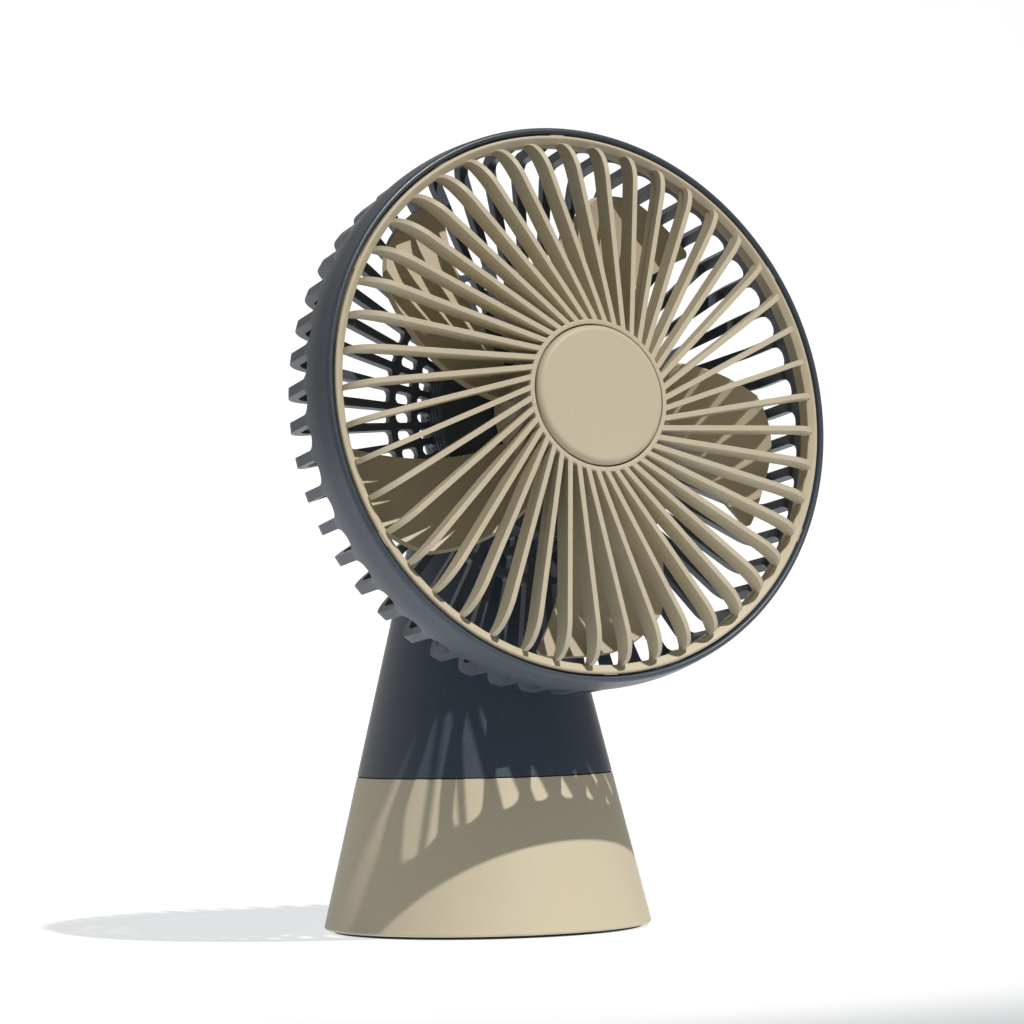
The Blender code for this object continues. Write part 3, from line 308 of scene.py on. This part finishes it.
# --- modelling helpers -----------------------------------------------------------------------
def arc(centre, radius, start, end, count, radius_y=None):
    """Points on an arc between two angles in degrees, both ends included."""
    points = []
    for k in range(count + 1):
        angle = math.radians(start + (end - start) * k / count)
        points.append((centre[0] + radius * math.cos(angle),
                       centre[1] + (radius_y or radius) * math.sin(angle)))
    return points


def lathe(points, soft=None, steps=192, closed=True):
    """Turns (radius, height) points about Z; soft gives corners their rounding in millimetres."""
    bm = bmesh.new()
    verts = [bm.verts.new((r, 0, z)) for r, z in points]
    for first, second in zip(verts, verts[1:]):
        bm.edges.new((first, second))
    if closed:
        bm.edges.new((verts[-1], verts[0]))
    for index, size in (soft or {}).items():
        bmesh.ops.bevel(bm, geom=[verts[index]], offset=size, offset_type="OFFSET",
                        segments=4 if size > 0.35 else 2, profile=0.5, affect="VERTICES",
                        material=-1)
    bmesh.ops.spin(bm, geom=bm.verts[:] + bm.edges[:], cent=(0, 0, 0), axis=(0, 0, 1),
                   angle=2 * math.pi, steps=steps, use_merge=True)
    bmesh.ops.remove_doubles(bm, verts=bm.verts, dist=0.0005)
    bmesh.ops.recalc_face_normals(bm, faces=bm.faces)
    return bm


def block(size, centre=(0, 0, 0), edge=0.0, segments=2):
    """Box of a given size, with its edges eased."""
    bm = bmesh.new()
    bmesh.ops.create_cube(bm, size=1)
    bmesh.ops.scale(bm, vec=size, verts=bm.verts)
    if edge:
        ease(bm, bm.edges[:], edge, segments)
    bmesh.ops.translate(bm, vec=centre, verts=bm.verts)
    return bm


def rod(radius, low, high, sides=64, edge=0.0, segments=2):
    """Cylinder along Z with its two rims eased."""
    bm = bmesh.new()
    bmesh.ops.create_cone(bm, cap_ends=True, segments=sides, radius1=radius, radius2=radius,
                          depth=high - low)
    if edge:
        rims = [e for e in bm.edges if abs(e.verts[0].co.z - e.verts[1].co.z) < 1e-4]
        ease(bm, rims, edge, segments)
    bmesh.ops.translate(bm, vec=(0, 0, (low + high) / 2), verts=bm.verts)
    return bm


def ease(bm, edges, size, segments=2):
    """Rounds edges off by a size in millimetres."""
    bmesh.ops.bevel(bm, geom=edges, offset=size, offset_type="OFFSET", segments=segments,
                    profile=0.5, affect="EDGES", material=-1, clamp_overlap=True)


def sharp(bm, angle=50):
    """Edges where two faces meet at more than an angle in degrees."""
    limit = math.radians(angle)
    return [e for e in bm.edges if len(e.link_faces) == 2 and e.calc_face_angle(0) > limit]


def together(*bms):
    """Several solids in one bmesh."""
    whole = bmesh.new()
    for bm in bms:
        spare = bpy.data.meshes.new("spare")
        bm.to_mesh(spare)
        bm.free()
        whole.from_mesh(spare)
        bpy.data.meshes.remove(spare)
    return whole


def moved(bm, matrix):
    bmesh.ops.transform(bm, matrix=matrix, verts=bm.verts)
    return bm


def around(bm, count):
    """Repeats everything evenly about Z."""
    bmesh.ops.spin(bm, geom=bm.verts[:] + bm.edges[:] + bm.faces[:], cent=(0, 0, 0),
                   axis=(0, 0, 1), angle=2 * math.pi * (count - 1) / count, steps=count - 1,
                   use_duplicate=True)
    return bm


def spin_z(angle):
    return Matrix.Rotation(math.radians(angle), 4, "Z")


def show(name, bm, slot, body, nodes, place=None, angle=38):
    """A finished piece from a millimetre bmesh: placed, shaded, riding and standing for nodes."""
    if place:
        moved(bm, place)
    bmesh.ops.scale(bm, vec=(MM, MM, MM), verts=bm.verts)
    mesh = bpy.data.meshes.new(name)
    bm.to_mesh(mesh)
    bm.free()
    mesh.shade_smooth()
    mesh.set_sharp_from_angle(angle=math.radians(angle))
    mesh.materials.append(FINISHES[slot])
    piece = bpy.data.objects.new(name, mesh)
    bpy.context.scene.collection.objects.link(piece)
    weigh = piece.modifiers.new("even_shading", "WEIGHTED_NORMAL")
    weigh.keep_sharp = True
    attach(piece, body)
    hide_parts(*nodes)
    return piece


def carve(bm, *changes):
    """Cuts or joins solids to a bmesh; each change is (operation, bmesh)."""
    def spare(shape):
        mesh = bpy.data.meshes.new("spare")
        shape.to_mesh(mesh)
        shape.free()
        made = bpy.data.objects.new("spare", mesh)
        bpy.context.scene.collection.objects.link(made)
        return made

    work = spare(bm)
    tools = []
    for operation, shape in changes:
        tool = spare(shape)
        tools.append(tool)
        change = work.modifiers.new("carve", "BOOLEAN")
        change.operation = operation
        change.solver = "EXACT"
        change.object = tool
    graph = bpy.context.evaluated_depsgraph_get()
    result = bpy.data.meshes.new_from_object(work.evaluated_get(graph))
    carved = bmesh.new()
    carved.from_mesh(result)
    bpy.data.meshes.remove(result)
    for made in [work] + tools:
        mesh = made.data
        bpy.data.objects.remove(made)
        bpy.data.meshes.remove(mesh)
    bmesh.ops.remove_doubles(carved, verts=carved.verts, dist=0.002)
    return carved


# --- front grille ----------------------------------------------------------------------------
RIM_R, RIM_IN, RIM_DEPTH, RIM_SLOPE = 80.0, 77.2, 5.4, 1.2
SPOKES, SPOKE_OFFSET, SPOKE_PHASE = 45, 9.8, 0.6
TABS = 6                           # snap tabs round the rim, each with a mark in front of it
SPOKE_FRONT, SPOKE_FRONT_OUT, SPOKE_DEPTH = 9.0, 7.2, 6.9
SPOKE_BEND, SPOKE_BASE, SPOKE_FOOT, SPOKE_END = 11.0, 1.0, 3.8, 2.4
HUB_R, HUB_WALL, HUB_FLOOR = 22.6, 1.5, 1.6
CAP_HEIGHT, CAP_R, CAP_EDGE = 10.5, 20.7, 1.9
STRAIGHT, BENT = 3, 12             # divisions along a spoke's straight and its bend


def spoke_strip(near, far, width):
    """Part of a spoke between two fractions of its depth, as a solid of even width."""
    start = math.sqrt((HUB_R - HUB_WALL * 0.4) ** 2 - (SPOKE_OFFSET + 0.85) ** 2)
    end = math.sqrt((RIM_R - SPOKE_END) ** 2 - SPOKE_OFFSET ** 2)
    bend = end - SPOKE_BEND
    low = -SPOKE_BASE - SPOKE_FOOT
    fall = SPOKE_FRONT_OUT - SPOKE_FRONT
    front = [(start + (bend - start) * k / STRAIGHT, SPOKE_FRONT + fall * k / STRAIGHT)
             for k in range(STRAIGHT)]
    front += arc((bend, -SPOKE_BASE), SPOKE_BEND, 90, 0, BENT, SPOKE_FRONT_OUT + SPOKE_BASE)
    back = [(start + (bend - 1 - start) * k / STRAIGHT,
             SPOKE_FRONT - SPOKE_DEPTH + fall * k / STRAIGHT) for k in range(STRAIGHT)]
    back += arc((bend - 1, low), SPOKE_BEND + 1, 90, 0, BENT, SPOKE_FRONT_OUT - SPOKE_DEPTH - low)
    bm = bmesh.new()
    count = len(front)
    bmesh.ops.create_grid(bm, x_segments=count - 1, y_segments=1, size=0.5)
    for vert in bm.verts:
        k = round((vert.co.x + 0.5) * (count - 1))
        part = near if vert.co.y > 0 else far
        along, rise = Vector(front[k]).lerp(Vector(back[k]), part)
        vert.co = (along, -width / 2, rise)
    made = bmesh.ops.extrude_face_region(bm, geom=bm.faces[:])
    bmesh.ops.translate(bm, vec=(0, width, 0), verts=[v for v in made["geom"]
                                                      if isinstance(v, bmesh.types.BMVert)])
    bmesh.ops.recalc_face_normals(bm, faces=bm.faces)
    return bm


def long_edges(bm, side):
    """Edges along a spoke strip: side 1 for its front, -1 for its back."""
    found = []
    for edge in sharp(bm):
        flats = [f for f in edge.link_faces if abs(f.normal.y) < 0.1]
        if len(flats) == 1 and side * (flats[0].normal.x + flats[0].normal.z) > 0.5:
            tangent = (edge.verts[1].co - edge.verts[0].co).normalized()
            if abs(tangent.y) < 0.1:
                found.append(edge)
    return found


def spoke():
    """Rounded bead in front, a slightly thinner web behind it."""
    bead = spoke_strip(0.0, 0.42, 1.56)
    ease(bead, long_edges(bead, 1), 0.56, 3)
    web = spoke_strip(0.25, 1.0, 1.24)
    ease(web, long_edges(web, -1), 0.35, 2)
    return moved(together(bead, web),
                 spin_z(SPOKE_PHASE) @ Matrix.Translation((0, -SPOKE_OFFSET, 0)))


def front_grille():
    rim = lathe([(RIM_R, 0), (RIM_R, -RIM_DEPTH), (RIM_IN, -RIM_DEPTH), (RIM_IN, -RIM_SLOPE),
                 (RIM_R - 0.9, 0)], {0: 0.7, 1: 0.3, 2: 0.3, 3: 0.22, 4: 0.4}, steps=270)
    hub_low = SPOKE_FRONT - SPOKE_DEPTH
    inner = HUB_R - HUB_WALL
    hub = lathe([(0, hub_low), (HUB_R, hub_low), (HUB_R, SPOKE_FRONT), (inner, SPOKE_FRONT),
                 (inner, hub_low + HUB_FLOOR), (0, hub_low + HUB_FLOOR)],
                {1: 0.5, 2: 0.5, 3: 0.3}, closed=False, steps=180)
    mark = block((0.24, 4.5, 0.7), (RIM_R + 0.08, 0, -0.75), 0.06, 1)
    tab = block((0.75, 9.0, 1.3), (RIM_R + 0.3, 0, -3.6), 0.15, 2)
    marks = around(moved(mark, spin_z(90)), TABS)
    tabs = around(moved(tab, spin_z(90)), TABS)
    show("front_grille_moulding", together(rim, hub, around(spoke(), SPOKES), marks, tabs),
         "beige_plastic", "head", ["front_grille"], head_place)
    skirt = hub_low + HUB_FLOOR + 0.3
    cap = lathe([(0, CAP_HEIGHT), (CAP_R, CAP_HEIGHT), (CAP_R, skirt), (CAP_R - 1.6, skirt),
                 (CAP_R - 1.6, CAP_HEIGHT - 2.2), (0, CAP_HEIGHT - 2.2)],
                {1: CAP_EDGE, 2: 0.2, 3: 0.2}, closed=False, steps=180)
    show("hub_cap_disc", cap, "beige_plastic", "head", ["hub_cap"], head_place)


# --- rear guard ------------------------------------------------------------------------------
BARS, BAR_HALF, BAR_THICK, BAR_PHASE = 50, 1.5, 3.0, 1.7
GUARD_IN, GUARD_DEPTH, GUARD_CORNER = 80.3, 32.0, 6.0
CREST = 13.0                       # where the slots between the bars begin, behind the rim plane
DRUM_R, DRUM_FRONT, DRUM_WALL = 36.0, 22.0, 2.0
RING_MIDDLES, RING_WIDTH = (40.7, 47.7), 2.2
FILLET = 1.0


def bar_half(radius):
    """Half of a bar's width: it narrows towards the drum."""
    part = min(max((radius - 35.0) / 41.0, 0.0), 1.0)
    return 0.85 + (BAR_HALF - 0.85) * part


def guard_rows():
    """(radius, height, half width) down one bar: lip, ring, slot end, side, corner, back."""
    def pitch(radius):
        return math.pi * radius / BARS

    ring = [(80.7, -0.6), (80.9, -0.2), (81.2, 0.0), (81.55, 0.0), (81.95, -0.14), (82.25, -0.45),
            (82.42, -0.95), (82.5, -1.8), (82.72, -4.0), (83.0, -6.0), (83.16, -8.0),
            (83.16, -10.0), (83.05, -11.8),
            (82.95, -CREST)]
    rows = [(r, z, pitch(r)) for r, z in ring]
    crest_r = ring[-1][0]
    reach = pitch(crest_r) - BAR_HALF
    for k in range(1, 10):
        angle = math.radians(90 - 10 * k)
        fall = reach * (1 - math.sin(angle))
        rows.append((crest_r - 0.5 * fall / reach, -CREST - fall,
                     BAR_HALF + reach * (1 - math.cos(angle))))
    corner = (76.0, -GUARD_DEPTH + GUARD_CORNER)
    rows.append((82.2, -22.0, BAR_HALF))
    rows += [(r, z, BAR_HALF) for r, z in arc(corner, GUARD_CORNER, 0, -90, 9)]
    rows += [(r, -GUARD_DEPTH, bar_half(r)) for r in (66.0, 56.0)]
    for middle in sorted(RING_MIDDLES, reverse=True):
        for side in (1, -1):
            edge = middle + side * RING_WIDTH / 2
            fan = [(edge + side * FILLET * (1 - math.sin(math.radians(a))), -GUARD_DEPTH,
                    bar_half(edge) + FILLET * (1 - math.cos(math.radians(a)))) for a in
                   (0, 22, 45, 67, 90)]
            rows += fan if side > 0 else fan[::-1]
    fan = [(DRUM_R + FILLET * (1 - math.sin(math.radians(a))), -GUARD_DEPTH,
            bar_half(DRUM_R) + FILLET * (1 - math.cos(math.radians(a)))) for a in (0, 30, 60, 90)]
    return rows + fan + [(DRUM_R - 1.0, -GUARD_DEPTH, bar_half(DRUM_R) + FILLET)]


def guard_sector():
    """One bar with its share of the ring, as a solid with open ends towards its neighbours."""
    rows = guard_rows()
    last = len(rows) - 1
    bm = bmesh.new()
    bmesh.ops.create_grid(bm, x_segments=last, y_segments=4, size=0.5)
    for vert in bm.verts:
        radius, height, half = rows[round((vert.co.x + 0.5) * last)]
        turn = 2 * vert.co.y * half / radius
        vert.co = (radius * math.cos(turn), radius * math.sin(turn), height)
    bmesh.ops.recalc_face_normals(bm, faces=bm.faces)
    outward = max(bm.faces, key=lambda f: f.calc_center_median().xy.length)
    if outward.normal.dot(outward.calc_center_median()) < 0:
        bmesh.ops.reverse_faces(bm, faces=bm.faces)
    outer = {v.co.to_tuple(3) for v in bm.verts}
    bmesh.ops.solidify(bm, geom=bm.faces[:], thickness=BAR_THICK)
    seam = math.pi / BARS
    for vert in bm.verts:
        co = vert.co
        if co.to_tuple(3) not in outer:
            radius, turn = co.xy.length, math.atan2(co.y, co.x)
            if co.z > -CREST - 1.5:
                radius = GUARD_IN
                co.z = min(co.z, -0.6)
            elif co.z > -19:
                radius = min(radius, GUARD_IN)
            if abs(abs(turn) - seam) < 0.004 and co.z > -CREST - 0.8:
                turn = math.copysign(seam, turn)
            vert.co = (radius * math.cos(turn), radius * math.sin(turn), co.z)
    walls = [f for f in bm.faces
             if all(abs(abs(math.atan2(v.co.y, v.co.x)) - seam) < 1e-4 for v in f.verts)]
    bmesh.ops.delete(bm, geom=walls, context="FACES")
    return bm


def rear_guard():
    bars = around(guard_sector(), BARS)
    bmesh.ops.remove_doubles(bars, verts=bars.verts, dist=0.004)
    bmesh.ops.recalc_face_normals(bars, faces=bars.faces)
    edges = [e for e in sharp(bars, 48) if max(v.co.xy.length for v in e.verts) > DRUM_R + 0.2
             and min(v.co.z for v in e.verts) < -CREST + 0.3]
    ease(bars, edges, 0.32, 2)
    moved(bars, spin_z(BAR_PHASE))
    rings = []
    for middle in RING_MIDDLES:
        out, inside = middle + RING_WIDTH / 2, middle - RING_WIDTH / 2
        front, back = -GUARD_DEPTH + BAR_THICK - 0.04, -GUARD_DEPTH + 0.04
        rings.append(lathe([(out, front), (out, back), (inside, back), (inside, front)],
                           {0: 0.35, 1: 0.35, 2: 0.35, 3: 0.35}, steps=200))
    flank = [(DRUM_R, -DRUM_FRONT)]
    for k in range(4):
        at = DRUM_FRONT + 1.4 + 1.9 * k
        flank += [(DRUM_R, -at), (DRUM_R - 0.45, -at - 0.25), (DRUM_R - 0.45, -at - 0.75),
                  (DRUM_R, -at - 1.0)]
    drum = lathe([(7.0, -DRUM_FRONT)] + flank + [
        (DRUM_R, -GUARD_DEPTH), (DRUM_R - DRUM_WALL, -GUARD_DEPTH),
        (DRUM_R - DRUM_WALL, -DRUM_FRONT - DRUM_WALL), (7.0, -DRUM_FRONT - DRUM_WALL)],
        {0: 0.3, 1: 0.8}, steps=200)
    posts = around(moved(rod(3.4, -26.0, -23.0, 40), Matrix.Translation((0, 26.5, 0))), 3)
    show("rear_guard_moulding", together(bars, *rings, drum, posts), "slate_plastic", "head",
         ["rear_guard"], head_place)


# --- impeller --------------------------------------------------------------------------------
BLADES, IMPELLER_R, IMPELLER_HUB = 5, 72.5, 19.0
BLADE_THICK, BLADE_MIDDLE, BLADE_HALF_DEPTH, BLADE_BOW = 1.8, 14.8, 5.4, 1.3
BLADE_PHASE, BLADE_SWEEP, ROOT_ARC, TIP_ARC, BLADE_CORNER = 13.6, 28.0, 21.2, 14.4, 6.5


def blade():
    """One pitched, forward-swept blade: hollow leading edge, trailing corner rounded back."""
    root = IMPELLER_HUB - 0.8
    reach = IMPELLER_R - root
    bm = bmesh.new()
    bmesh.ops.create_grid(bm, x_segments=30, y_segments=26, size=1)
    for vert in bm.verts:
        across = math.sin(math.pi / 2 * vert.co.y)
        rounded = (BLADE_CORNER * max(0.0, (across - 0.1) / 0.9) ** 2.8
                   + 1.6 * max(0.0, (-across - 0.86) / 0.14) ** 2.2)
        along = (vert.co.x + 1) / 2 * (1 - rounded / reach)
        radius = root + reach * along
        half_arc = ROOT_ARC + (TIP_ARC - ROOT_ARC) * along ** 1.3
        turn = math.radians(BLADE_PHASE - BLADE_SWEEP * along + half_arc * across)
        rise = BLADE_HALF_DEPTH * across * (1 - 0.12 * along)
        vert.co = (radius * math.cos(turn), radius * math.sin(turn),
                   rise - BLADE_BOW * (1 - across * across))
    bmesh.ops.recalc_face_normals(bm, faces=bm.faces)
    bmesh.ops.solidify(bm, geom=bm.faces[:], thickness=BLADE_THICK)
    bmesh.ops.recalc_face_normals(bm, faces=bm.faces)
    ease(bm, sharp(bm, 45), 0.6, 3)
    lowest = min(vert.co.z for vert in bm.verts)
    wanted = -BLADE_MIDDLE - BLADE_HALF_DEPTH - BLADE_THICK / 2
    return moved(bm, Matrix.Translation((0, 0, wanted - lowest)))


def impeller():
    front, back = -8.0, -20.5
    hub = lathe([(1.9, front), (IMPELLER_HUB, front), (IMPELLER_HUB, back), (17.4, back),
                 (17.4, front - 2.4), (5.0, front - 2.4), (5.0, back + 1.0), (1.9, back + 1.0)],
                {1: 2.8, 2: 0.3, 3: 0.3}, steps=144)
    blades = around(blade(), BLADES)
    show("impeller_moulding", together(hub, blades), "beige_plastic", "fan", ["impeller"],
         head_place, angle=45)


# --- back of the head and the tilt joint ------------------------------------------------------
def motor_cover():
    top = -GUARD_DEPTH - 0.3
    profile = [(33.7, top + 3), (33.7, top), (DRUM_R, top), (DRUM_R, -35.6), (25.0, -43.6),
               (14.6, -46.5), (2.6, -46.5), (2.6, -44.5), (13.0, -44.5), (24.5, -41.6),
               (32.3, top - 4.2), (32.3, top + 3)]
    cover = lathe(profile, {2: 0.4, 3: 2.2, 4: 4.0, 5: 1.2, 9: 2.0}, steps=180)
    show("motor_cover_shell", cover, "slate_plastic", "head", ["motor_cover"], head_place)


def knuckle():
    """Round eye about the tilt pin, with a neck up to the flange on the cover."""
    width, eye_r, flange = 13.4, 8.2, 12.3
    eye = moved(rod(eye_r, -width / 2, width / 2, 96, 0.7, 3),
                Matrix.Rotation(math.pi / 2, 4, "Y"))
    neck = block((width - 0.4, eye_r * 1.7, flange - 0.5), (0, 0, (flange - 0.5) / 2), 1.2, 3)
    disc = rod(10.6, flange - 2.4, flange, 96, 0.5, 3)
    place = pivot_place @ head_place.to_3x3().to_4x4()
    show("tilt_knuckle_moulding", together(eye, neck, disc), "slate_plastic", "head",
         ["tilt_knuckle"], place)


# --- cone base -------------------------------------------------------------------------------
def upper_cone():
    top, low = CONE_TOP, SEAM_HIGH
    slot, cheek_r = 8.1, 9.2
    inside = cone_r(low) - CONE_WALL / math.cos(LEAN)
    shell = lathe([(0, top), (cone_r(top), top), (cone_r(low), low), (inside - 0.4, low),
                   (inside - 0.4, low - 5), (inside - 2.2, low - 5), (13.0, 130.0), (0, 130.0)],
                  {1: 6.0, 2: 0.25}, closed=False, steps=192)
    across = Matrix.Translation(pivot) @ Matrix.Rotation(math.pi / 2, 4, "Y")
    floor = pivot.z - 10.6
    back = pivot.y + cheek_r + 1.5
    cheeks = moved(rod(cheek_r, -PIN_CAP_OUT, PIN_CAP_OUT, 96, 0.5, 3), across)
    cavity = block((2 * slot, 120, 60), (0, back - 60, floor + 30))
    corners = [e for e in cavity.edges if all(abs(v.co.z - floor) < 0.01 for v in e.verts)
               or all(abs(v.co.y - back) < 0.01 for v in e.verts)]
    ease(cavity, corners, 1.4, 4)
    room = moved(rod(cheek_r + 1.0, -slot, slot, 96), across)
    seats = [moved(rod(4.7, 11.4, 40, 64), across), moved(rod(4.7, -40, -11.4, 64), across)]
    button_hole = moved(rod(6.8, -7, 10, 96), button_place)
    light_hole = moved(rod(1.5, -7, 10, 48), light_place)
    cone = carve(shell, ("DIFFERENCE", cavity), ("UNION", cheeks), ("DIFFERENCE", room),
                 *[("DIFFERENCE", seat) for seat in seats], ("DIFFERENCE", button_hole),
                 ("DIFFERENCE", light_hole))
    show("upper_cone_shell", cone, "slate_plastic", "base", ["upper_cone"], angle=30)


def oblong(width, height, low, high, sides=20):
    """Bar of oblong section along Z."""
    bm = bmesh.new()
    half = (width - height) / 2
    outline = (arc((half, 0), height / 2, -90, 90, sides)
               + arc((-half, 0), height / 2, 90, 270, sides))
    face = bm.faces.new([bm.verts.new((x, y, low)) for x, y in outline])
    made = bmesh.ops.extrude_face_region(bm, geom=[face])
    bmesh.ops.translate(bm, vec=(0, 0, high - low), verts=[v for v in made["geom"]
                                                           if isinstance(v, bmesh.types.BMVert)])
    bmesh.ops.recalc_face_normals(bm, faces=bm.faces)
    return bm


def lower_cone():
    low, top = CONE_LOW, SEAM_LOW
    wall = CONE_WALL / math.cos(LEAN)
    shell = lathe([(cone_r(top), top), (cone_r(low), low), (cone_r(low) - wall, low),
                   (cone_r(top) - wall, top)], {0: 0.25, 1: 0.85, 2: 0.3}, steps=192)
    hole = moved(oblong(9.6, 3.9, -10, 10), socket_place)
    lip = moved(oblong(10.4, 4.7, -0.35, 10), socket_place)
    cone = carve(shell, ("DIFFERENCE", hole), ("DIFFERENCE", lip))
    show("lower_cone_shell", cone, "beige_plastic", "base", ["lower_cone"], angle=30)
    foot_r, foot_top = 47.1, 1.3
    foot = lathe([(0, foot_top), (foot_r, foot_top), (foot_r, 0), (45.8, 0), (45.0, 0.45),
                  (38.0, 0.45), (37.2, 0), (0, 0)],
                 {1: 0.2, 2: 0.4, 3: 0.3, 6: 0.3}, closed=False, steps=192)
    show("rubber_foot_pad", foot, "black_rubber", "base", ["rubber_foot"])


def trim():
    button = lathe([(0, 0.75), (3.4, 0.8), (5.4, 1.2), (6.5, 1.2), (6.5, -3.7), (7.8, -3.7),
                    (7.8, -4.7), (0, -4.7)], {2: 0.5, 3: 0.5}, closed=False, steps=128)
    show("power_button_key", button, "slate_plastic", "button", ["power_button"], button_place)
    pipe = lathe([(0, 0.15), (0.8, 0.08), (1.2, -0.3), (1.2, -10.7), (0, -10.7)], {1: 0.2},
                 closed=False, steps=48)
    show("light_pipe_lens", pipe, "light_pipe", "base", ["light_pipe"],
         light_place)
    shell = carve(oblong(9.0, 3.3, -10.7, -0.4), ("DIFFERENCE", oblong(8.2, 2.5, -9.6, 2)))
    tongue = block((6.4, 0.7, 6.4), (0, 0, -4.4), 0.15, 2)
    show("charge_socket_shell", together(shell, tongue), "steel", "base", ["usb_socket"],
         socket_place)
    for label, side in (("left", -1), ("right", 1)):
        cap = lathe([(0, 0), (4.4, 0), (4.4, -1.2), (0, -1.2)], {1: 0.4, 2: 0.1}, closed=False,
                    steps=96)
        place = (Matrix.Translation(pivot + Vector((side * PIN_CAP_OUT, 0, 0)))
                 @ Matrix.Rotation(math.radians(90 * side), 4, "Y"))
        show("pin_cap_disc_" + label, cap, "slate_plastic", "base", ["pin_cap_" + label], place)


front_grille()
rear_guard()
impeller()
motor_cover()
knuckle()
upper_cone()
lower_cone()
trim()

# --- CAD solids that keep their shape ----------------------------------------------------------
for name, node in NODES.items():
    if node.hide_render:
        continue
    slots = [s.name.split(".")[0] for s in node.material_slots]
    for place, was in zip(node.material_slots, slots):
        place.material = FINISHES.get(was, BEIGE)
    if not slots:
        node.data.materials.append(STEEL)

# --- table, light and camera -------------------------------------------------------------------
FLAT_R, CURVE_R, WALL_TOP = 1800, 900, 3200      # round paper dish, in millimetres
sweep = lathe([(0, 0), (FLAT_R, 0)] + arc((FLAT_R, CURVE_R), CURVE_R, -90, 0, 16)
              + [(FLAT_R + CURVE_R, WALL_TOP)], closed=False, steps=96)
bmesh.ops.reverse_faces(sweep, faces=sweep.faces)
bmesh.ops.scale(sweep, vec=(MM, MM, MM), verts=sweep.verts)
paper_mesh = bpy.data.meshes.new("paper_sweep")
sweep.to_mesh(paper_mesh)
sweep.free()
paper_mesh.shade_smooth()
paper_mesh.materials.append(PAPER)
paper = bpy.data.objects.new("paper_sweep", paper_mesh)
bpy.context.scene.collection.objects.link(paper)

world = bpy.data.worlds.new("studio")
bpy.context.scene.world = world
world.use_nodes = True
sky = world.node_tree.nodes["Background"]
sky.inputs["Color"].default_value = (1.0, 1.0, 1.0, 1.0)
sky.inputs["Strength"].default_value = 0.03
bpy.context.scene.view_settings.view_transform = "Standard"


def lamp(name, kind, towards, power, tint, **settings):
    """Light that shines on the object from the given direction."""
    light = bpy.data.lights.new(name, kind)
    light.energy = power
    light.color = tint
    for key, value in settings.items():
        setattr(light, key, value)
    made = bpy.data.objects.new(name, light)
    bpy.context.scene.collection.objects.link(made)
    ray = Vector(towards).normalized()
    made.location = Vector((0, -0.03, 0.12)) + ray * 1.5
    made.rotation_euler = ray.to_track_quat("Z", "Y").to_euler()


lamp("key", "SUN", (0.125, -0.589, 0.799), 3.1, (1.0, 0.95, 0.89), angle=math.radians(0.9))

AZIMUTH, PITCH, ROLL = math.radians(-28.63), math.radians(1.64), math.radians(-1.28)
back = Vector((math.sin(AZIMUTH), -math.cos(AZIMUTH), 0))
right = Vector((math.cos(AZIMUTH), math.sin(AZIMUTH), 0))
eye = back * 1.2334 + right * 0.01009 + Vector((0, 0, 0.0908))
look = -back * math.cos(PITCH) + Vector((0, 0, math.sin(PITCH)))
up = right.cross(look)
across = right * math.cos(ROLL) + up * math.sin(ROLL)
lift = up * math.cos(ROLL) - right * math.sin(ROLL)
camera_data = bpy.data.cameras.new("camera")
camera_data.lens = 142.38
camera_data.sensor_width = 36.0
camera = bpy.data.objects.new("camera", camera_data)
bpy.context.scene.collection.objects.link(camera)
camera.matrix_world = Matrix.Translation(eye) @ Matrix((across, lift, -look)).transposed().to_4x4()
bpy.context.scene.camera = camera
